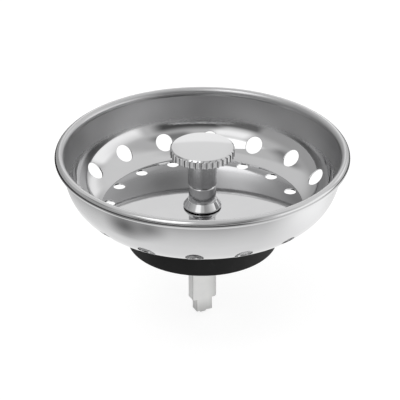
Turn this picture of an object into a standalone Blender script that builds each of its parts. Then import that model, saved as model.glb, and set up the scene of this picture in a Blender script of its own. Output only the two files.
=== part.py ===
"""Kitchen sink basket plug: a pressed steel basket turning on a knobbed post with a rubber stopper.

Metres, +Z up. The origin is the middle of the pip at the end of the stem, the lowest point of the plug.
The post, and everything clamped on it, turns in the hole in the basket's floor.
"""

from math import acos, atan2, cos, hypot, pi, radians, sin, sqrt, tan

import bmesh
import bpy
from mathutils import Matrix, Vector

# Clearances and cuts
SEAT_GAP = 0.0003
STUD_CLEARANCE = 0.0003
CUT_OVERRUN = 0.002
MERGE_DISTANCE = 0.000001

# Basket, pressed from one sheet of stainless steel
RIM_DIAMETER = 0.0825
RIM_BEAD_DIAMETER = 0.0026
RIM_BEAD_BULGE = 0.00035
RIM_CREASE_RADIUS = 0.00035
SHEET_THICKNESS = 0.0005
WALL_TAPER = radians(10)
WALL_DEPTH = 0.006
FLOOR_DEPTH = 0.0162
FLOOR_DIAMETER = 0.0568

# Drain holes of the basket
HOLE_COUNT = 16
HOLE_TURN = radians(18.9)
SIDE_HOLE_WIDTH = 0.005
SIDE_HOLE_LENGTH = 0.0054
SIDE_HOLE_PLACE_SHARE = 0.55
FLOOR_HOLE_DIAMETER = 0.0034
FLOOR_HOLE_MARGIN = 0.0003

# Stud, the threaded rod that holds the post together
STUD_DIAMETER = 0.005
STUD_CHAMFER = 0.0005
KNOB_BORE_DEPTH = 0.0095
STEM_BORE_DEPTH = 0.0038

# Knob, a milled disc on a hub
KNOB_DIAMETER = 0.0181
KNOB_THICKNESS = 0.00266
KNOB_DOME_RISE = 0.0004
KNOB_TOOTH_COUNT = 33
KNOB_TOOTH_DEPTH = 0.00055
KNOB_TOP_BEVEL = 0.00045
KNOB_TOP_BEVEL_DROP = 0.00035
KNOB_BOTTOM_BEVEL = 0.0002
DOME_RING_SHARE = 0.6
HUB_WALL = 0.0013
HUB_LENGTH = 0.00874

# Collar with the flared foot that stands on the basket's floor
COLLAR_WALL = 0.00105
COLLAR_HEIGHT = 0.00682
FOOT_FLARE = 0.0015
FOOT_FLARE_HEIGHT = 0.0023
FOOT_EDGE = 0.0003

# Rubber stopper, washer and nut under the floor
RUBBER_DIAMETER = 0.0426
RUBBER_THICKNESS = 0.00992
RUBBER_EDGE_RADIUS = 0.0006
WASHER_DIAMETER = 0.018
WASHER_THICKNESS = 0.001
WASHER_BEVEL = 0.00015
WASHER_RECESS_DEPTH = 0.0006
NUT_WALL = 0.0012
NUT_HEIGHT = 0.0027
NUT_BEVEL = 0.0003

# Stem, a nylon blade with a step on each side, a boss on top and a round pip at its end
STEM_LENGTH = 0.01976
STEM_BOSS_WALL = 0.0022
STEM_BOSS_LENGTH = 0.00536
STEM_JOIN = 0.0006
BLADE_THICKNESS = 0.003
BLADE_WIDTH = 0.00747
BLADE_CORNER = 0.0005
TIP_WIDTH = 0.0049
TIP_LENGTH = 0.00393
TIP_CORNER = 0.0003
PIP_DIAMETER = 0.002
PIP_LENGTH = 0.0009
STEM_TURN = radians(25)

# Facets
BASKET_STEPS = 64
SHOULDER_STEPS = 8
CREASE_STEPS = 2
BEAD_STEPS = 11
HOLE_STEPS = 18
SMALL_HOLE_STEPS = 14
RUBBER_STEPS = 64
POST_STEPS = 36
TOOTH_STEPS = 4
EDGE_STEPS = 3
SMOOTH_ANGLE = radians(32)

# Sizes that follow from the ones above
stud_radius = STUD_DIAMETER / 2
bore_radius = stud_radius + STUD_CLEARANCE
hub_radius = bore_radius + HUB_WALL
collar_radius = bore_radius + COLLAR_WALL
boss_radius = bore_radius + STEM_BOSS_WALL

# Heights of the stack, from the stem's end up to the knob
stem_top = STEM_LENGTH
nut_base = stem_top + SEAT_GAP
washer_base = nut_base + NUT_HEIGHT + SEAT_GAP
rubber_base = washer_base + WASHER_THICKNESS + SEAT_GAP - WASHER_RECESS_DEPTH
basket_base = rubber_base + RUBBER_THICKNESS + SEAT_GAP
floor_top = basket_base + SHEET_THICKNESS
collar_base = floor_top + SEAT_GAP
hub_base = collar_base + COLLAR_HEIGHT + SEAT_GAP
stud_base = stem_top - STEM_BORE_DEPTH + SEAT_GAP
stud_top = hub_base + KNOB_BORE_DEPTH - SEAT_GAP


def clear_scene():
    """Remove every object that the file opened with."""
    for old in list(bpy.data.objects):
        bpy.data.objects.remove(old, do_unlink=True)


def finish(name, colour, metallic, roughness):
    """A plain material in one colour."""
    material = bpy.data.materials.new(name)
    material.use_nodes = True
    shader = material.node_tree.nodes["Principled BSDF"]
    shader.inputs["Base Color"].default_value = (*colour, 1)
    shader.inputs["Metallic"].default_value = metallic
    shader.inputs["Roughness"].default_value = roughness
    return material


def new_object(name, mesh_builder, height, parent=None):
    """Turn a finished bmesh into an object standing at a height on the post's axis."""
    bmesh.ops.recalc_face_normals(mesh_builder, faces=mesh_builder.faces)
    mesh = bpy.data.meshes.new(name)
    mesh_builder.to_mesh(mesh)
    mesh_builder.free()
    mesh.shade_smooth()
    mesh.set_sharp_from_angle(angle=SMOOTH_ANGLE)
    piece = bpy.data.objects.new(name, mesh)
    bpy.context.scene.collection.objects.link(piece)
    piece.parent = parent
    piece.location.z = height - (parent.location.z if parent else 0)
    return piece


def combine(body, tool, operation):
    """Join a hidden shape to a body, or cut it away, with a Boolean modifier."""
    boolean = body.modifiers.new(tool.name, "BOOLEAN")
    boolean.operation = operation
    boolean.solver = "EXACT"
    boolean.object = tool
    tool.hide_render = True
    tool.display_type = "WIRE"


def turned(outline, steps, closed=True):
    """Spin an outline of (radius, height) points about the Z axis.

    A closed outline goes round a bore. An open one starts and ends on the axis.
    """
    builder = bmesh.new()
    corners = [builder.verts.new((radius, 0, height)) for radius, height in outline]
    for here, there in zip(corners, corners[1:]):
        builder.edges.new((here, there))
    if closed:
        builder.edges.new((corners[-1], corners[0]))
    bmesh.ops.spin(
        builder, geom=builder.verts[:] + builder.edges[:], cent=(0, 0, 0), axis=(0, 0, 1),
        angle=2 * pi, steps=steps, use_merge=True,
    )
    bmesh.ops.remove_doubles(builder, verts=builder.verts, dist=MERGE_DISTANCE)
    return builder


def loft(rings):
    """Skin a stack of rings that have the same number of points, and cap both ends."""
    builder = bmesh.new()
    levels = [[builder.verts.new(point) for point in points] for points in rings]
    count = len(levels[0])
    for lower, upper in zip(levels, levels[1:]):
        for index in range(count):
            after = (index + 1) % count
            builder.faces.new((lower[index], lower[after], upper[after], upper[index]))
    builder.faces.new(levels[0][::-1])
    builder.faces.new(levels[-1])
    return builder


def cylinder(radius, base, top, steps):
    """A plain rod on the Z axis between two heights."""
    return turned([(0, base), (radius, base), (radius, top), (0, top)], steps, closed=False)


class BasketShape:
    """The inner face of the basket's sheet, in the basket's own heights (0 is the floor's underside)."""

    def __init__(self):
        self.floor_height = SHEET_THICKNESS
        self.rim_height = SHEET_THICKNESS + FLOOR_DEPTH
        self.bead_radius = RIM_BEAD_DIAMETER / 2
        self.bead_centre = RIM_DIAMETER / 2 - self.bead_radius
        self.wall_offset = RIM_BEAD_BULGE - self.bead_radius
        foot_height = self.rim_height - WALL_DEPTH
        foot_radius = self.bead_centre + self.wall_offset - WALL_DEPTH * tan(WALL_TAPER)
        across = FLOOR_DIAMETER / 2 - foot_radius
        down = self.floor_height - foot_height
        lean = down * sin(WALL_TAPER) - across * cos(WALL_TAPER)
        self.shoulder_radius = (across ** 2 + down ** 2) / (2 * lean)
        self.shoulder_centre = foot_radius - self.shoulder_radius * cos(WALL_TAPER)
        self.shoulder_height = foot_height + self.shoulder_radius * sin(WALL_TAPER)
        self.corner_angle = atan2(
            self.shoulder_height - self.floor_height, FLOOR_DIAMETER / 2 - self.shoulder_centre
        )
        inward = Vector((-cos(WALL_TAPER), sin(WALL_TAPER)))
        upward = Vector((sin(WALL_TAPER), cos(WALL_TAPER)))
        beside = Vector((self.wall_offset, 0)) + inward * RIM_CREASE_RADIUS
        climb = beside.dot(upward)
        reach = self.bead_radius + RIM_CREASE_RADIUS
        self.crease_offset = beside - upward * (climb + sqrt(reach ** 2 - beside.length_squared + climb ** 2))
        self.crease_angle = atan2(-self.crease_offset.y, -self.crease_offset.x)

    def shoulder_point(self, angle):
        """A point of the shoulder's arc, at an angle below the horizontal."""
        return (
            self.shoulder_centre + self.shoulder_radius * cos(angle),
            self.shoulder_height - self.shoulder_radius * sin(angle),
        )

    def bead_end_angle(self):
        """How far round the rolled edge runs before it would touch the wall again."""
        return -acos((self.wall_offset + SHEET_THICKNESS + SEAT_GAP) / self.bead_radius)

    def rim_arc(self, centre, radius, start, end, steps):
        """An arc near the rim. Its centre is given from the middle of the rolled edge."""
        points = []
        for step in range(steps + 1):
            angle = start + (end - start) * step / steps
            points.append((
                self.bead_centre + centre[0] + radius * cos(angle),
                self.rim_height + centre[1] + radius * sin(angle),
            ))
        return points

    def path(self):
        """Points from the post hole, over the floor, up the wall, round the crease and the rolled edge."""
        points = [(bore_radius, self.floor_height)]
        for step in range(SHOULDER_STEPS + 1):
            share = step / SHOULDER_STEPS
            angle = self.corner_angle + (WALL_TAPER - self.corner_angle) * share
            points.append(self.shoulder_point(angle))
        points += self.rim_arc(
            self.crease_offset, RIM_CREASE_RADIUS, -WALL_TAPER, self.crease_angle, CREASE_STEPS
        )
        bead = self.rim_arc(
            (0, 0), self.bead_radius, pi + self.crease_angle, self.bead_end_angle(), BEAD_STEPS
        )
        return points + bead[1:]


def offset_path(points, distance):
    """Move a path sideways by a sheet's thickness, with mitred corners."""
    headings = []
    for here, there in zip(points, points[1:]):
        length = hypot(there[0] - here[0], there[1] - here[1])
        headings.append(Vector(((there[1] - here[1]) / length, (here[0] - there[0]) / length)))
    moved = []
    for index, point in enumerate(points):
        before = headings[max(index - 1, 0)]
        after = headings[min(index, len(headings) - 1)]
        middle = (before + after).normalized()
        moved.append(tuple(Vector(point) + middle * (distance / middle.dot(before))))
    return moved


def side_hole_cutter(shape, height):
    """Rods square to the shoulder, one for each large hole."""
    builder = bmesh.new()
    angle = WALL_TAPER + (shape.corner_angle - WALL_TAPER) * SIDE_HOLE_PLACE_SHARE
    radius, level = shape.shoulder_point(angle)
    frame = Matrix((
        (-sin(angle), 0, cos(angle), radius),
        (0, 1, 0, 0),
        (-cos(angle), 0, -sin(angle), level),
        (0, 0, 0, 1),
    ))
    size = Matrix.Diagonal((SIDE_HOLE_LENGTH / 2, SIDE_HOLE_WIDTH / 2, 1, 1))
    for index in range(HOLE_COUNT):
        turn = Matrix.Rotation(HOLE_TURN + 2 * pi * index / HOLE_COUNT, 4, "Z")
        bmesh.ops.create_cone(
            builder, cap_ends=True, segments=HOLE_STEPS, radius1=1, radius2=1,
            depth=2 * (SHEET_THICKNESS + CUT_OVERRUN), matrix=turn @ frame @ size,
        )
    return new_object("side_hole_cutter", builder, height)


def floor_hole_cutter(shape, height):
    """Upright rods just inside the edge of the floor, one for each small hole."""
    builder = bmesh.new()
    circle = FLOOR_DIAMETER / 2 - FLOOR_HOLE_MARGIN - FLOOR_HOLE_DIAMETER / 2
    for index in range(HOLE_COUNT):
        turn = HOLE_TURN + 2 * pi * index / HOLE_COUNT
        bmesh.ops.create_cone(
            builder, cap_ends=True, segments=SMALL_HOLE_STEPS,
            radius1=FLOOR_HOLE_DIAMETER / 2, radius2=FLOOR_HOLE_DIAMETER / 2,
            depth=2 * (SHEET_THICKNESS + CUT_OVERRUN),
            matrix=Matrix.Translation((circle * cos(turn), circle * sin(turn), shape.floor_height)),
        )
    return new_object("floor_hole_cutter", builder, height)


def make_basket(steel):
    """The pressed basket: floor, rounded shoulder, tapered wall and rolled rim in one sheet."""
    shape = BasketShape()
    inner = shape.path()
    outline = inner + offset_path(inner, SHEET_THICKNESS)[::-1]
    basket = new_object("basket", turned(outline, BASKET_STEPS), basket_base)
    combine(basket, side_hole_cutter(shape, basket_base), "DIFFERENCE")
    combine(basket, floor_hole_cutter(shape, basket_base), "DIFFERENCE")
    basket.data.materials.append(steel)
    return basket


def toothed_ring(tip, valley, height):
    """A ring of narrow ridges with a round flute between each two: full at a ridge, drawn in at a valley."""
    count = KNOB_TOOTH_COUNT * TOOTH_STEPS
    points = []
    for index in range(count):
        angle = 2 * pi * index / count
        hollow = abs(cos(KNOB_TOOTH_COUNT * angle / 2))
        radius = tip - (tip - valley) * sqrt(hollow)
        points.append((radius * cos(angle), radius * sin(angle), height))
    return points


def make_knob(chrome, parent):
    """The milled knob: a slightly domed, toothed disc on a round hub, bored from below for the stud."""
    tip = KNOB_DIAMETER / 2
    valley = tip - KNOB_TOOTH_DEPTH
    rim = tip - KNOB_TOP_BEVEL
    disc_top = HUB_LENGTH + KNOB_THICKNESS
    shoulder = disc_top - KNOB_TOP_BEVEL_DROP
    crown = disc_top + KNOB_DOME_RISE * (1 - DOME_RING_SHARE ** 2)
    disc = loft([
        toothed_ring(tip - KNOB_BOTTOM_BEVEL, valley - KNOB_BOTTOM_BEVEL, HUB_LENGTH),
        toothed_ring(tip, valley, HUB_LENGTH + KNOB_BOTTOM_BEVEL),
        toothed_ring(tip, valley, shoulder),
        toothed_ring(rim, valley, disc_top),
        toothed_ring(rim * DOME_RING_SHARE, rim * DOME_RING_SHARE, crown),
    ])
    knob = new_object("knob", disc, hub_base, parent)
    hub = new_object(
        "knob_hub", cylinder(hub_radius, 0, HUB_LENGTH + KNOB_THICKNESS / 2, POST_STEPS), hub_base, parent
    )
    bore = new_object(
        "knob_bore", cylinder(bore_radius, -CUT_OVERRUN, KNOB_BORE_DEPTH, POST_STEPS), hub_base, parent
    )
    combine(knob, hub, "UNION")
    combine(knob, bore, "DIFFERENCE")
    knob.data.materials.append(chrome)
    return knob


def make_collar(chrome, parent):
    """The collar between the hub and the floor, flared at its foot."""
    foot = collar_radius + FOOT_FLARE
    outline = [
        (bore_radius, 0),
        (foot - FOOT_EDGE, 0),
        (foot, FOOT_EDGE),
        (collar_radius, FOOT_EDGE + FOOT_FLARE_HEIGHT),
        (collar_radius, COLLAR_HEIGHT),
        (bore_radius, COLLAR_HEIGHT),
    ]
    collar = new_object("post_collar", turned(outline, POST_STEPS), collar_base, parent)
    collar.data.materials.append(chrome)
    return collar


def make_stud(steel, parent):
    """The rod that runs from the knob to the stem."""
    length = stud_top - stud_base
    outline = [
        (0, 0),
        (stud_radius - STUD_CHAMFER, 0),
        (stud_radius, STUD_CHAMFER),
        (stud_radius, length - STUD_CHAMFER),
        (stud_radius - STUD_CHAMFER, length),
        (0, length),
    ]
    stud = new_object("post_stud", turned(outline, POST_STEPS, closed=False), stud_base, parent)
    stud.data.materials.append(steel)
    return stud


def make_rubber(rubber, parent):
    """The thick rubber disc that closes the drain, with rounded edges and a recess for the washer."""
    radius = RUBBER_DIAMETER / 2
    centre = radius - RUBBER_EDGE_RADIUS
    recess = WASHER_DIAMETER / 2 + SEAT_GAP
    outline = [(bore_radius, WASHER_RECESS_DEPTH), (recess, WASHER_RECESS_DEPTH), (recess, 0)]
    for height, start in ((RUBBER_EDGE_RADIUS, -pi / 2), (RUBBER_THICKNESS - RUBBER_EDGE_RADIUS, 0)):
        for step in range(EDGE_STEPS + 1):
            angle = start + pi / 2 * step / EDGE_STEPS
            outline.append((
                centre + RUBBER_EDGE_RADIUS * cos(angle),
                height + RUBBER_EDGE_RADIUS * sin(angle),
            ))
    outline.append((bore_radius, RUBBER_THICKNESS))
    stopper = new_object("rubber_stopper", turned(outline, RUBBER_STEPS), rubber_base, parent)
    stopper.data.materials.append(rubber)
    return stopper


def make_washer(steel, parent):
    """The flat washer that backs the rubber."""
    radius = WASHER_DIAMETER / 2
    outline = [
        (bore_radius, 0),
        (radius - WASHER_BEVEL, 0),
        (radius, WASHER_BEVEL),
        (radius, WASHER_THICKNESS - WASHER_BEVEL),
        (radius - WASHER_BEVEL, WASHER_THICKNESS),
        (bore_radius, WASHER_THICKNESS),
    ]
    washer = new_object("stopper_washer", turned(outline, POST_STEPS), washer_base, parent)
    washer.data.materials.append(steel)
    return washer


def make_nut(steel, parent):
    """The thin hexagon nut that clamps the washer, the rubber and the collar."""
    corner = (bore_radius + NUT_WALL) / cos(pi / 6)
    rings = []
    levels = (
        (corner - NUT_BEVEL, 0),
        (corner, NUT_BEVEL),
        (corner, NUT_HEIGHT - NUT_BEVEL),
        (corner - NUT_BEVEL, NUT_HEIGHT),
    )
    for radius, height in levels:
        rings.append([(radius * cos(pi / 3 * k), radius * sin(pi / 3 * k), height) for k in range(6)])
    nut = new_object("lock_nut", loft(rings), nut_base, parent)
    hole = cylinder(bore_radius, -CUT_OVERRUN, NUT_HEIGHT + CUT_OVERRUN, POST_STEPS)
    bore = new_object("nut_bore", hole, nut_base, parent)
    combine(nut, bore, "DIFFERENCE")
    nut.data.materials.append(steel)
    return nut


def blade_outline():
    """The outline of the blade seen from its flat side: a narrow tip below two square steps."""
    tip = TIP_WIDTH / 2
    side = BLADE_WIDTH / 2
    step = PIP_LENGTH + TIP_LENGTH
    right_side = [
        (tip - TIP_CORNER, PIP_LENGTH),
        (tip, PIP_LENGTH + TIP_CORNER),
        (tip, step),
        (side - BLADE_CORNER, step),
        (side, step + BLADE_CORNER),
        (side, STEM_LENGTH - STEM_BOSS_LENGTH + STEM_JOIN),
    ]
    return right_side + [(-across, height) for across, height in reversed(right_side)]


def make_stem(nylon, parent):
    """The stepped blade that drops into the drain's slot, with a boss for the stud and a pip at its end."""
    turn = Matrix.Rotation(STEM_TURN, 3, "Z")
    outline = blade_outline()
    sides = []
    for side in (BLADE_THICKNESS / 2, -BLADE_THICKNESS / 2):
        sides.append([turn @ Vector((across, side, height)) for across, height in outline])
    stem = new_object("stem", loft(sides), 0, parent)
    knuckle = cylinder(boss_radius, STEM_LENGTH - STEM_BOSS_LENGTH, STEM_LENGTH, POST_STEPS)
    boss = new_object("stem_boss", knuckle, 0, parent)
    point = cylinder(PIP_DIAMETER / 2, 0, PIP_LENGTH + STEM_JOIN, POST_STEPS)
    pip = new_object("stem_pip", point, 0, parent)
    hole = cylinder(bore_radius, STEM_LENGTH - STEM_BORE_DEPTH, STEM_LENGTH + CUT_OVERRUN, POST_STEPS)
    bore = new_object("stem_bore", hole, 0, parent)
    combine(stem, boss, "UNION")
    combine(stem, pip, "UNION")
    combine(stem, bore, "DIFFERENCE")
    stem.data.materials.append(nylon)
    return stem


def post_axis():
    """The empty on the axis that the post turns about."""
    axis = bpy.data.objects.new("post_turn_axis", None)
    bpy.context.scene.collection.objects.link(axis)
    axis.location.z = floor_top
    return axis


def main():
    """Build the basket, then the post with everything that turns with it."""
    clear_scene()
    pressed_steel = finish("pressed_steel", (0.62, 0.62, 0.63), 1, 0.25)
    chrome = finish("chrome", (0.7, 0.7, 0.71), 1, 0.12)
    plain_steel = finish("plain_steel", (0.5, 0.5, 0.51), 1, 0.4)
    black_rubber = finish("black_rubber", (0.016, 0.016, 0.017), 0, 0.6)
    pale_nylon = finish("pale_nylon", (0.8, 0.8, 0.79), 0, 0.35)
    make_basket(pressed_steel)
    axis = post_axis()
    make_knob(chrome, axis)
    make_collar(chrome, axis)
    make_stud(plain_steel, axis)
    make_rubber(black_rubber, axis)
    make_washer(plain_steel, axis)
    make_nut(plain_steel, axis)
    make_stem(pale_nylon, axis)


main()
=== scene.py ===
# %% [markdown]
# # A kitchen sink plug, dressed piece by piece
#
# The plug is a pressed steel basket that turns on a chromed post. A milled knob tops the post, a thick
# rubber disc under the floor closes the drain, and a pale nylon stem with two steps drops into the drain's
# slot. The solid model comes in first as a fixed frame: each piece has its real size and place. It is made
# of flat facets, so this lesson builds a finer shape over each solid and gives it the finish that the real
# one has.

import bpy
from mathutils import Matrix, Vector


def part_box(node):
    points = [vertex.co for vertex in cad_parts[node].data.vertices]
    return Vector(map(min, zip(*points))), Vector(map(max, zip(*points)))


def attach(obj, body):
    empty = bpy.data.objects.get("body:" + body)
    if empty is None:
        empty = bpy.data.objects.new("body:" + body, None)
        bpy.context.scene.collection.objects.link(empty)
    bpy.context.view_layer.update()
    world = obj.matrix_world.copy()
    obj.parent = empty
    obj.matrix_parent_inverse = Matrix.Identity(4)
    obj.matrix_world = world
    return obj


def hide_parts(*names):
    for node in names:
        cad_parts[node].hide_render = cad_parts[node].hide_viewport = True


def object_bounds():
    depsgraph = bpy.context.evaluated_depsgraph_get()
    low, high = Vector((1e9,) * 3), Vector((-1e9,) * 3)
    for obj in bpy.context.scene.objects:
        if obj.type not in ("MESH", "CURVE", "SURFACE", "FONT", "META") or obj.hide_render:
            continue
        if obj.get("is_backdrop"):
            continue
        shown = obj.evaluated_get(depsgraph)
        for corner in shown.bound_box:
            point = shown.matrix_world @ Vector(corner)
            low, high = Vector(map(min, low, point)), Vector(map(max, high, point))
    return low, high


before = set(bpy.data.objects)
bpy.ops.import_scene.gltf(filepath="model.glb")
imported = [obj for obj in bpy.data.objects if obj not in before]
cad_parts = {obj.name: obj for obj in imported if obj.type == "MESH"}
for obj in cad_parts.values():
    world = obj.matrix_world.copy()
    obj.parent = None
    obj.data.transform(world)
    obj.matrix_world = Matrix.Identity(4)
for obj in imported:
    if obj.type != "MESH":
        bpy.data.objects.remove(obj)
cad_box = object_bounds()
for name in sorted(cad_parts):
    lowest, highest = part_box(name)
    print(name, "stands from", round(1000 * lowest.z, 2), "to", round(1000 * highest.z, 2), "mm")

# %% [markdown]
# ## The basket's sizes
#
# Nearly everything else is placed by the basket, so its sizes come first. They are the ones that the solid
# model was made from, in metres: the rim over its rolled edge, the depth down to the floor, and the sheet's
# thickness. They could be measured off the solids, but named values are easier to follow and to change. The
# wall of the solid is a straight cone. The real one is bowed by a hair, and the bow starts where the wall
# leans by BOW_START.

# %% State the basket's sizes
from math import acos, atan2, ceil, cos, degrees, hypot, pi, radians, sin, sqrt, tan

RIM_DIAMETER = 0.0825
RIM_BEAD_DIAMETER = 0.0026
RIM_BEAD_BULGE = 0.00035
RIM_CREASE_RADIUS = 0.00035
SHEET_THICKNESS = 0.0005
SEAM_GAP = 0.0003
WALL_TAPER = radians(10)
BOW_START = radians(18)
WALL_DEPTH = 0.006
FLOOR_DEPTH = 0.0162
FLOOR_DIAMETER = 0.0568
CORNER_ROUNDING = 0.001
POST_HOLE_RADIUS = 0.0028

basket_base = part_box("basket")[0].z
floor_top = basket_base + SHEET_THICKNESS
rim_height = floor_top + FLOOR_DEPTH
print("the basket's floor is at", round(1000 * floor_top, 2), "mm")
print("and the middle of its rolled rim is at", round(1000 * rim_height, 2), "mm")

# %% [markdown]
# ## The camera
#
# The photograph looks down into the basket from a bit under 30 degrees, and its ellipses hardly narrow
# towards the back. So the camera stands well off with a long lens. It could track an empty, but a matrix
# made from its three directions puts it exactly where it belongs. It is aimed a little below the rim, so
# that the whole plug sits in the square frame.

# %% Set up the camera
import bpy
from mathutils import Matrix, Vector

CAMERA_ELEVATION = radians(28.77)
CAMERA_AIM_HEIGHT = 0.05088
CAMERA_DISTANCE = 0.7376
CAMERA_LEFT = 0.0006733
CAMERA_DROP = 0.012754
LENS_LENGTH = 237.79


def make_camera():
    """A long lens that looks down at the middle of the rim, moved a little left and down."""
    right = Vector((1, 0, 0))
    up = Vector((0, sin(CAMERA_ELEVATION), cos(CAMERA_ELEVATION)))
    back = Vector((0, -cos(CAMERA_ELEVATION), sin(CAMERA_ELEVATION)))
    lens = bpy.data.cameras.new("long_lens")
    lens.lens = LENS_LENGTH
    camera = bpy.data.objects.new("camera", lens)
    bpy.context.scene.collection.objects.link(camera)
    aim = Vector((0, 0, CAMERA_AIM_HEIGHT)) - right * CAMERA_LEFT - up * CAMERA_DROP
    place = aim + back * CAMERA_DISTANCE
    facing = Matrix((right, up, back)).transposed().to_4x4()
    camera.matrix_world = Matrix.Translation(place) @ facing
    bpy.context.scene.camera = camera
    return camera


camera = make_camera()
print("the camera stands", round(camera.location.length, 3), "m away")

# %% [markdown]
# ## Helpers for materials
#
# Every finish here is made from shader nodes. They could be dragged together by hand in the editor, but a
# script makes them the same each time. Small helpers keep the cells below short. The first ones add a node
# and wire it, do a step of arithmetic, and take a vector apart and put it together.

# %% Helpers that add nodes
def add_node(tree, kind, inputs=None, **options):
    """Add a node, set its options, and give each named input a number or a wire."""
    node = tree.nodes.new(kind)
    for option, value in options.items():
        setattr(node, option, value)
    for name, value in (inputs or {}).items():
        if isinstance(value, bpy.types.NodeSocket):
            tree.links.new(value, node.inputs[name])
        else:
            node.inputs[name].default_value = value
    return node


def compute(tree, operation, *values):
    """One step of arithmetic."""
    return add_node(tree, "ShaderNodeMath", dict(enumerate(values)), operation=operation).outputs[0]


def product(tree, first, *others):
    """Several values multiplied, such as masks that all have to hold."""
    for other in others:
        first = compute(tree, "MULTIPLY", first, other)
    return first


def measure(tree, operation, *vectors):
    """One number from vectors: a length, a distance, or how far two directions agree."""
    inputs = dict(enumerate(vectors))
    return add_node(tree, "ShaderNodeVectorMath", inputs, operation=operation).outputs["Value"]


def split(tree, vector):
    """The X, Y and Z of a vector."""
    return add_node(tree, "ShaderNodeSeparateXYZ", {0: vector}).outputs


def join(tree, x, y, z=0.0):
    """A vector from its X, Y and Z."""
    return add_node(tree, "ShaderNodeCombineXYZ", {"X": x, "Y": y, "Z": z}).outputs[0]


print("the helpers for nodes are ready, and Blender has", len(bpy.data.materials), "materials so far")

# %% [markdown]
# ### Helpers that shade
#
# The next helpers are a painter's steps: a smooth rise between two values, a cloudy noise, a level that
# wavers with a mark, mixing and dimming, and the relief of a surface. Relief could be cut into the mesh,
# but a bump is enough for marks that are far finer than the mesh's faces.

# %% Helpers that shade
def rise(tree, value, start, end, low=0.0, high=1.0):
    """Go smoothly from low to high while the value goes from start to end."""
    inputs = {"Value": value, "From Min": start, "From Max": end, "To Min": low, "To Max": high}
    return add_node(tree, "ShaderNodeMapRange", inputs, interpolation_type="SMOOTHSTEP").outputs[0]


def noise(tree, place, scale, detail):
    """A cloudy value between 0 and 1."""
    inputs = {"Vector": place, "Scale": scale, "Detail": detail}
    return add_node(tree, "ShaderNodeTexNoise", inputs).outputs[0]


def waver(tree, level, mark, span):
    """A level that moves up and down within a span, led by a mark between 0 and 1."""
    return compute(tree, "ADD", compute(tree, "MULTIPLY_ADD", mark, span, -span / 2), level)


def mix(tree, share, first, second):
    """The first number where the share is 0, and the second where it is 1."""
    return add_node(tree, "ShaderNodeMix", {0: share, 2: first, 3: second}).outputs[0]


def mix_colours(tree, share, first, second):
    """The first colour where the share is 0, and the second where it is 1."""
    inputs = {0: share, 4: first, 5: second}
    return add_node(tree, "ShaderNodeMix", inputs, data_type="VECTOR").outputs[1]


def dim(tree, colour, tone):
    """A colour made darker by a tone below 1, or paler by one above."""
    inputs = {0: colour, "Scale": tone}
    return add_node(tree, "ShaderNodeVectorMath", inputs, operation="SCALE").outputs["Vector"]


def give_relief(tree, shader, height):
    """Tilt the surface's facing as if it rose and fell by this height, in metres."""
    bump = add_node(tree, "ShaderNodeBump", {"Height": height, "Distance": 1.0, "Strength": 1.0})
    tree.links.new(bump.outputs[0], shader.inputs["Normal"])


def new_finish(name):
    """A material with its tree, its shader and the place on the piece in metres."""
    material = bpy.data.materials.new(name)
    material.use_nodes = True
    tree = material.node_tree
    place = add_node(tree, "ShaderNodeTexCoord").outputs["Object"]
    return material, tree, tree.nodes["Principled BSDF"], place


print("the helpers for shading are ready, and Blender has", len(bpy.data.worlds), "worlds so far")

# %% [markdown]
# ## The studio
#
# Polished steel has no look of its own: it shows the room around it. Small metal goods are photographed
# inside a white tent, which reflects as a pale, even field, with dark places where the lens looks in and
# where the tent ends. The world's light is that tent. Each patch of it is given by the bearing and the
# height it lies at, in degrees, as seen from the plug: bearing 0 is towards the camera, and plus is to the
# right. Straight looks at the world are plain white, as the background of the photograph is.

# %% Light the studio tent
TENT_LEVEL = 0.7
TENT_PATCHES = (
    # bearing, half its width, height, half its height, softness, level
    (109, 60, 52, 19, 7, 0.9),
    (-112, 66, 7, 26, 8, 0.48),
    (-107, 22, 43, 7, 8, 0.3),
    (85, 29, 16, 18, 5, 1.34),
    (143, 14, 27, 6, 5, 1.22),
    (55, 37, 58, 29, 16, 0.64),
    (35, 21, 50, 9, 7, 0.28),
    (-48, 30, 68, 13, 6, 2.3),
    (-30, 19, 42, 9, 7, 1.37),
    (-34, 18, 16, 10, 4, 0.18),
    (12, 30, 22, 11, 8, 0.1),
    (-146, 22, 56, 24, 9, 0.82),
    (180, 9, 32, 12, 5, 1.0),
    (178, 12, 12.5, 12, 1, 1.2),
)


def light_studio():
    """A white tent with brighter and darker patches, which only reflections and lit surfaces see."""
    world = bpy.data.worlds.new("studio_tent")
    bpy.context.scene.world = world
    world.use_nodes = True
    tree = world.node_tree
    tree.nodes.clear()
    parts = split(tree, add_node(tree, "ShaderNodeTexCoord").outputs["Generated"])
    towards_camera = compute(tree, "MULTIPLY", parts["Y"], -1.0)
    bearing = compute(tree, "DEGREES", compute(tree, "ARCTAN2", parts["X"], towards_camera))
    height = compute(tree, "DEGREES", compute(tree, "ARCSINE", parts["Z"]))
    level = TENT_LEVEL
    for middle, half_width, middle_height, half_height, softness, patch_level in TENT_PATCHES:
        turned = compute(tree, "WRAP", compute(tree, "SUBTRACT", bearing, middle), 180.0, -180.0)
        aside = compute(tree, "ABSOLUTE", turned)
        above = compute(tree, "ABSOLUTE", compute(tree, "SUBTRACT", height, middle_height))
        across = rise(tree, aside, half_width + softness, half_width - softness)
        upright = rise(tree, above, half_height + softness, half_height - softness)
        level = mix(tree, product(tree, across, upright), level, patch_level)
    seen = add_node(tree, "ShaderNodeLightPath").outputs["Is Camera Ray"]
    strength = mix(tree, seen, level, 1.0)
    light = add_node(tree, "ShaderNodeBackground", {"Color": (1, 1, 1, 1), "Strength": strength})
    add_node(tree, "ShaderNodeOutputWorld", {"Surface": light.outputs[0]})
    return world


light_studio()
bpy.context.scene.view_settings.view_transform = "Standard"
print("the tent has", len(TENT_PATCHES), "patches")

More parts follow.
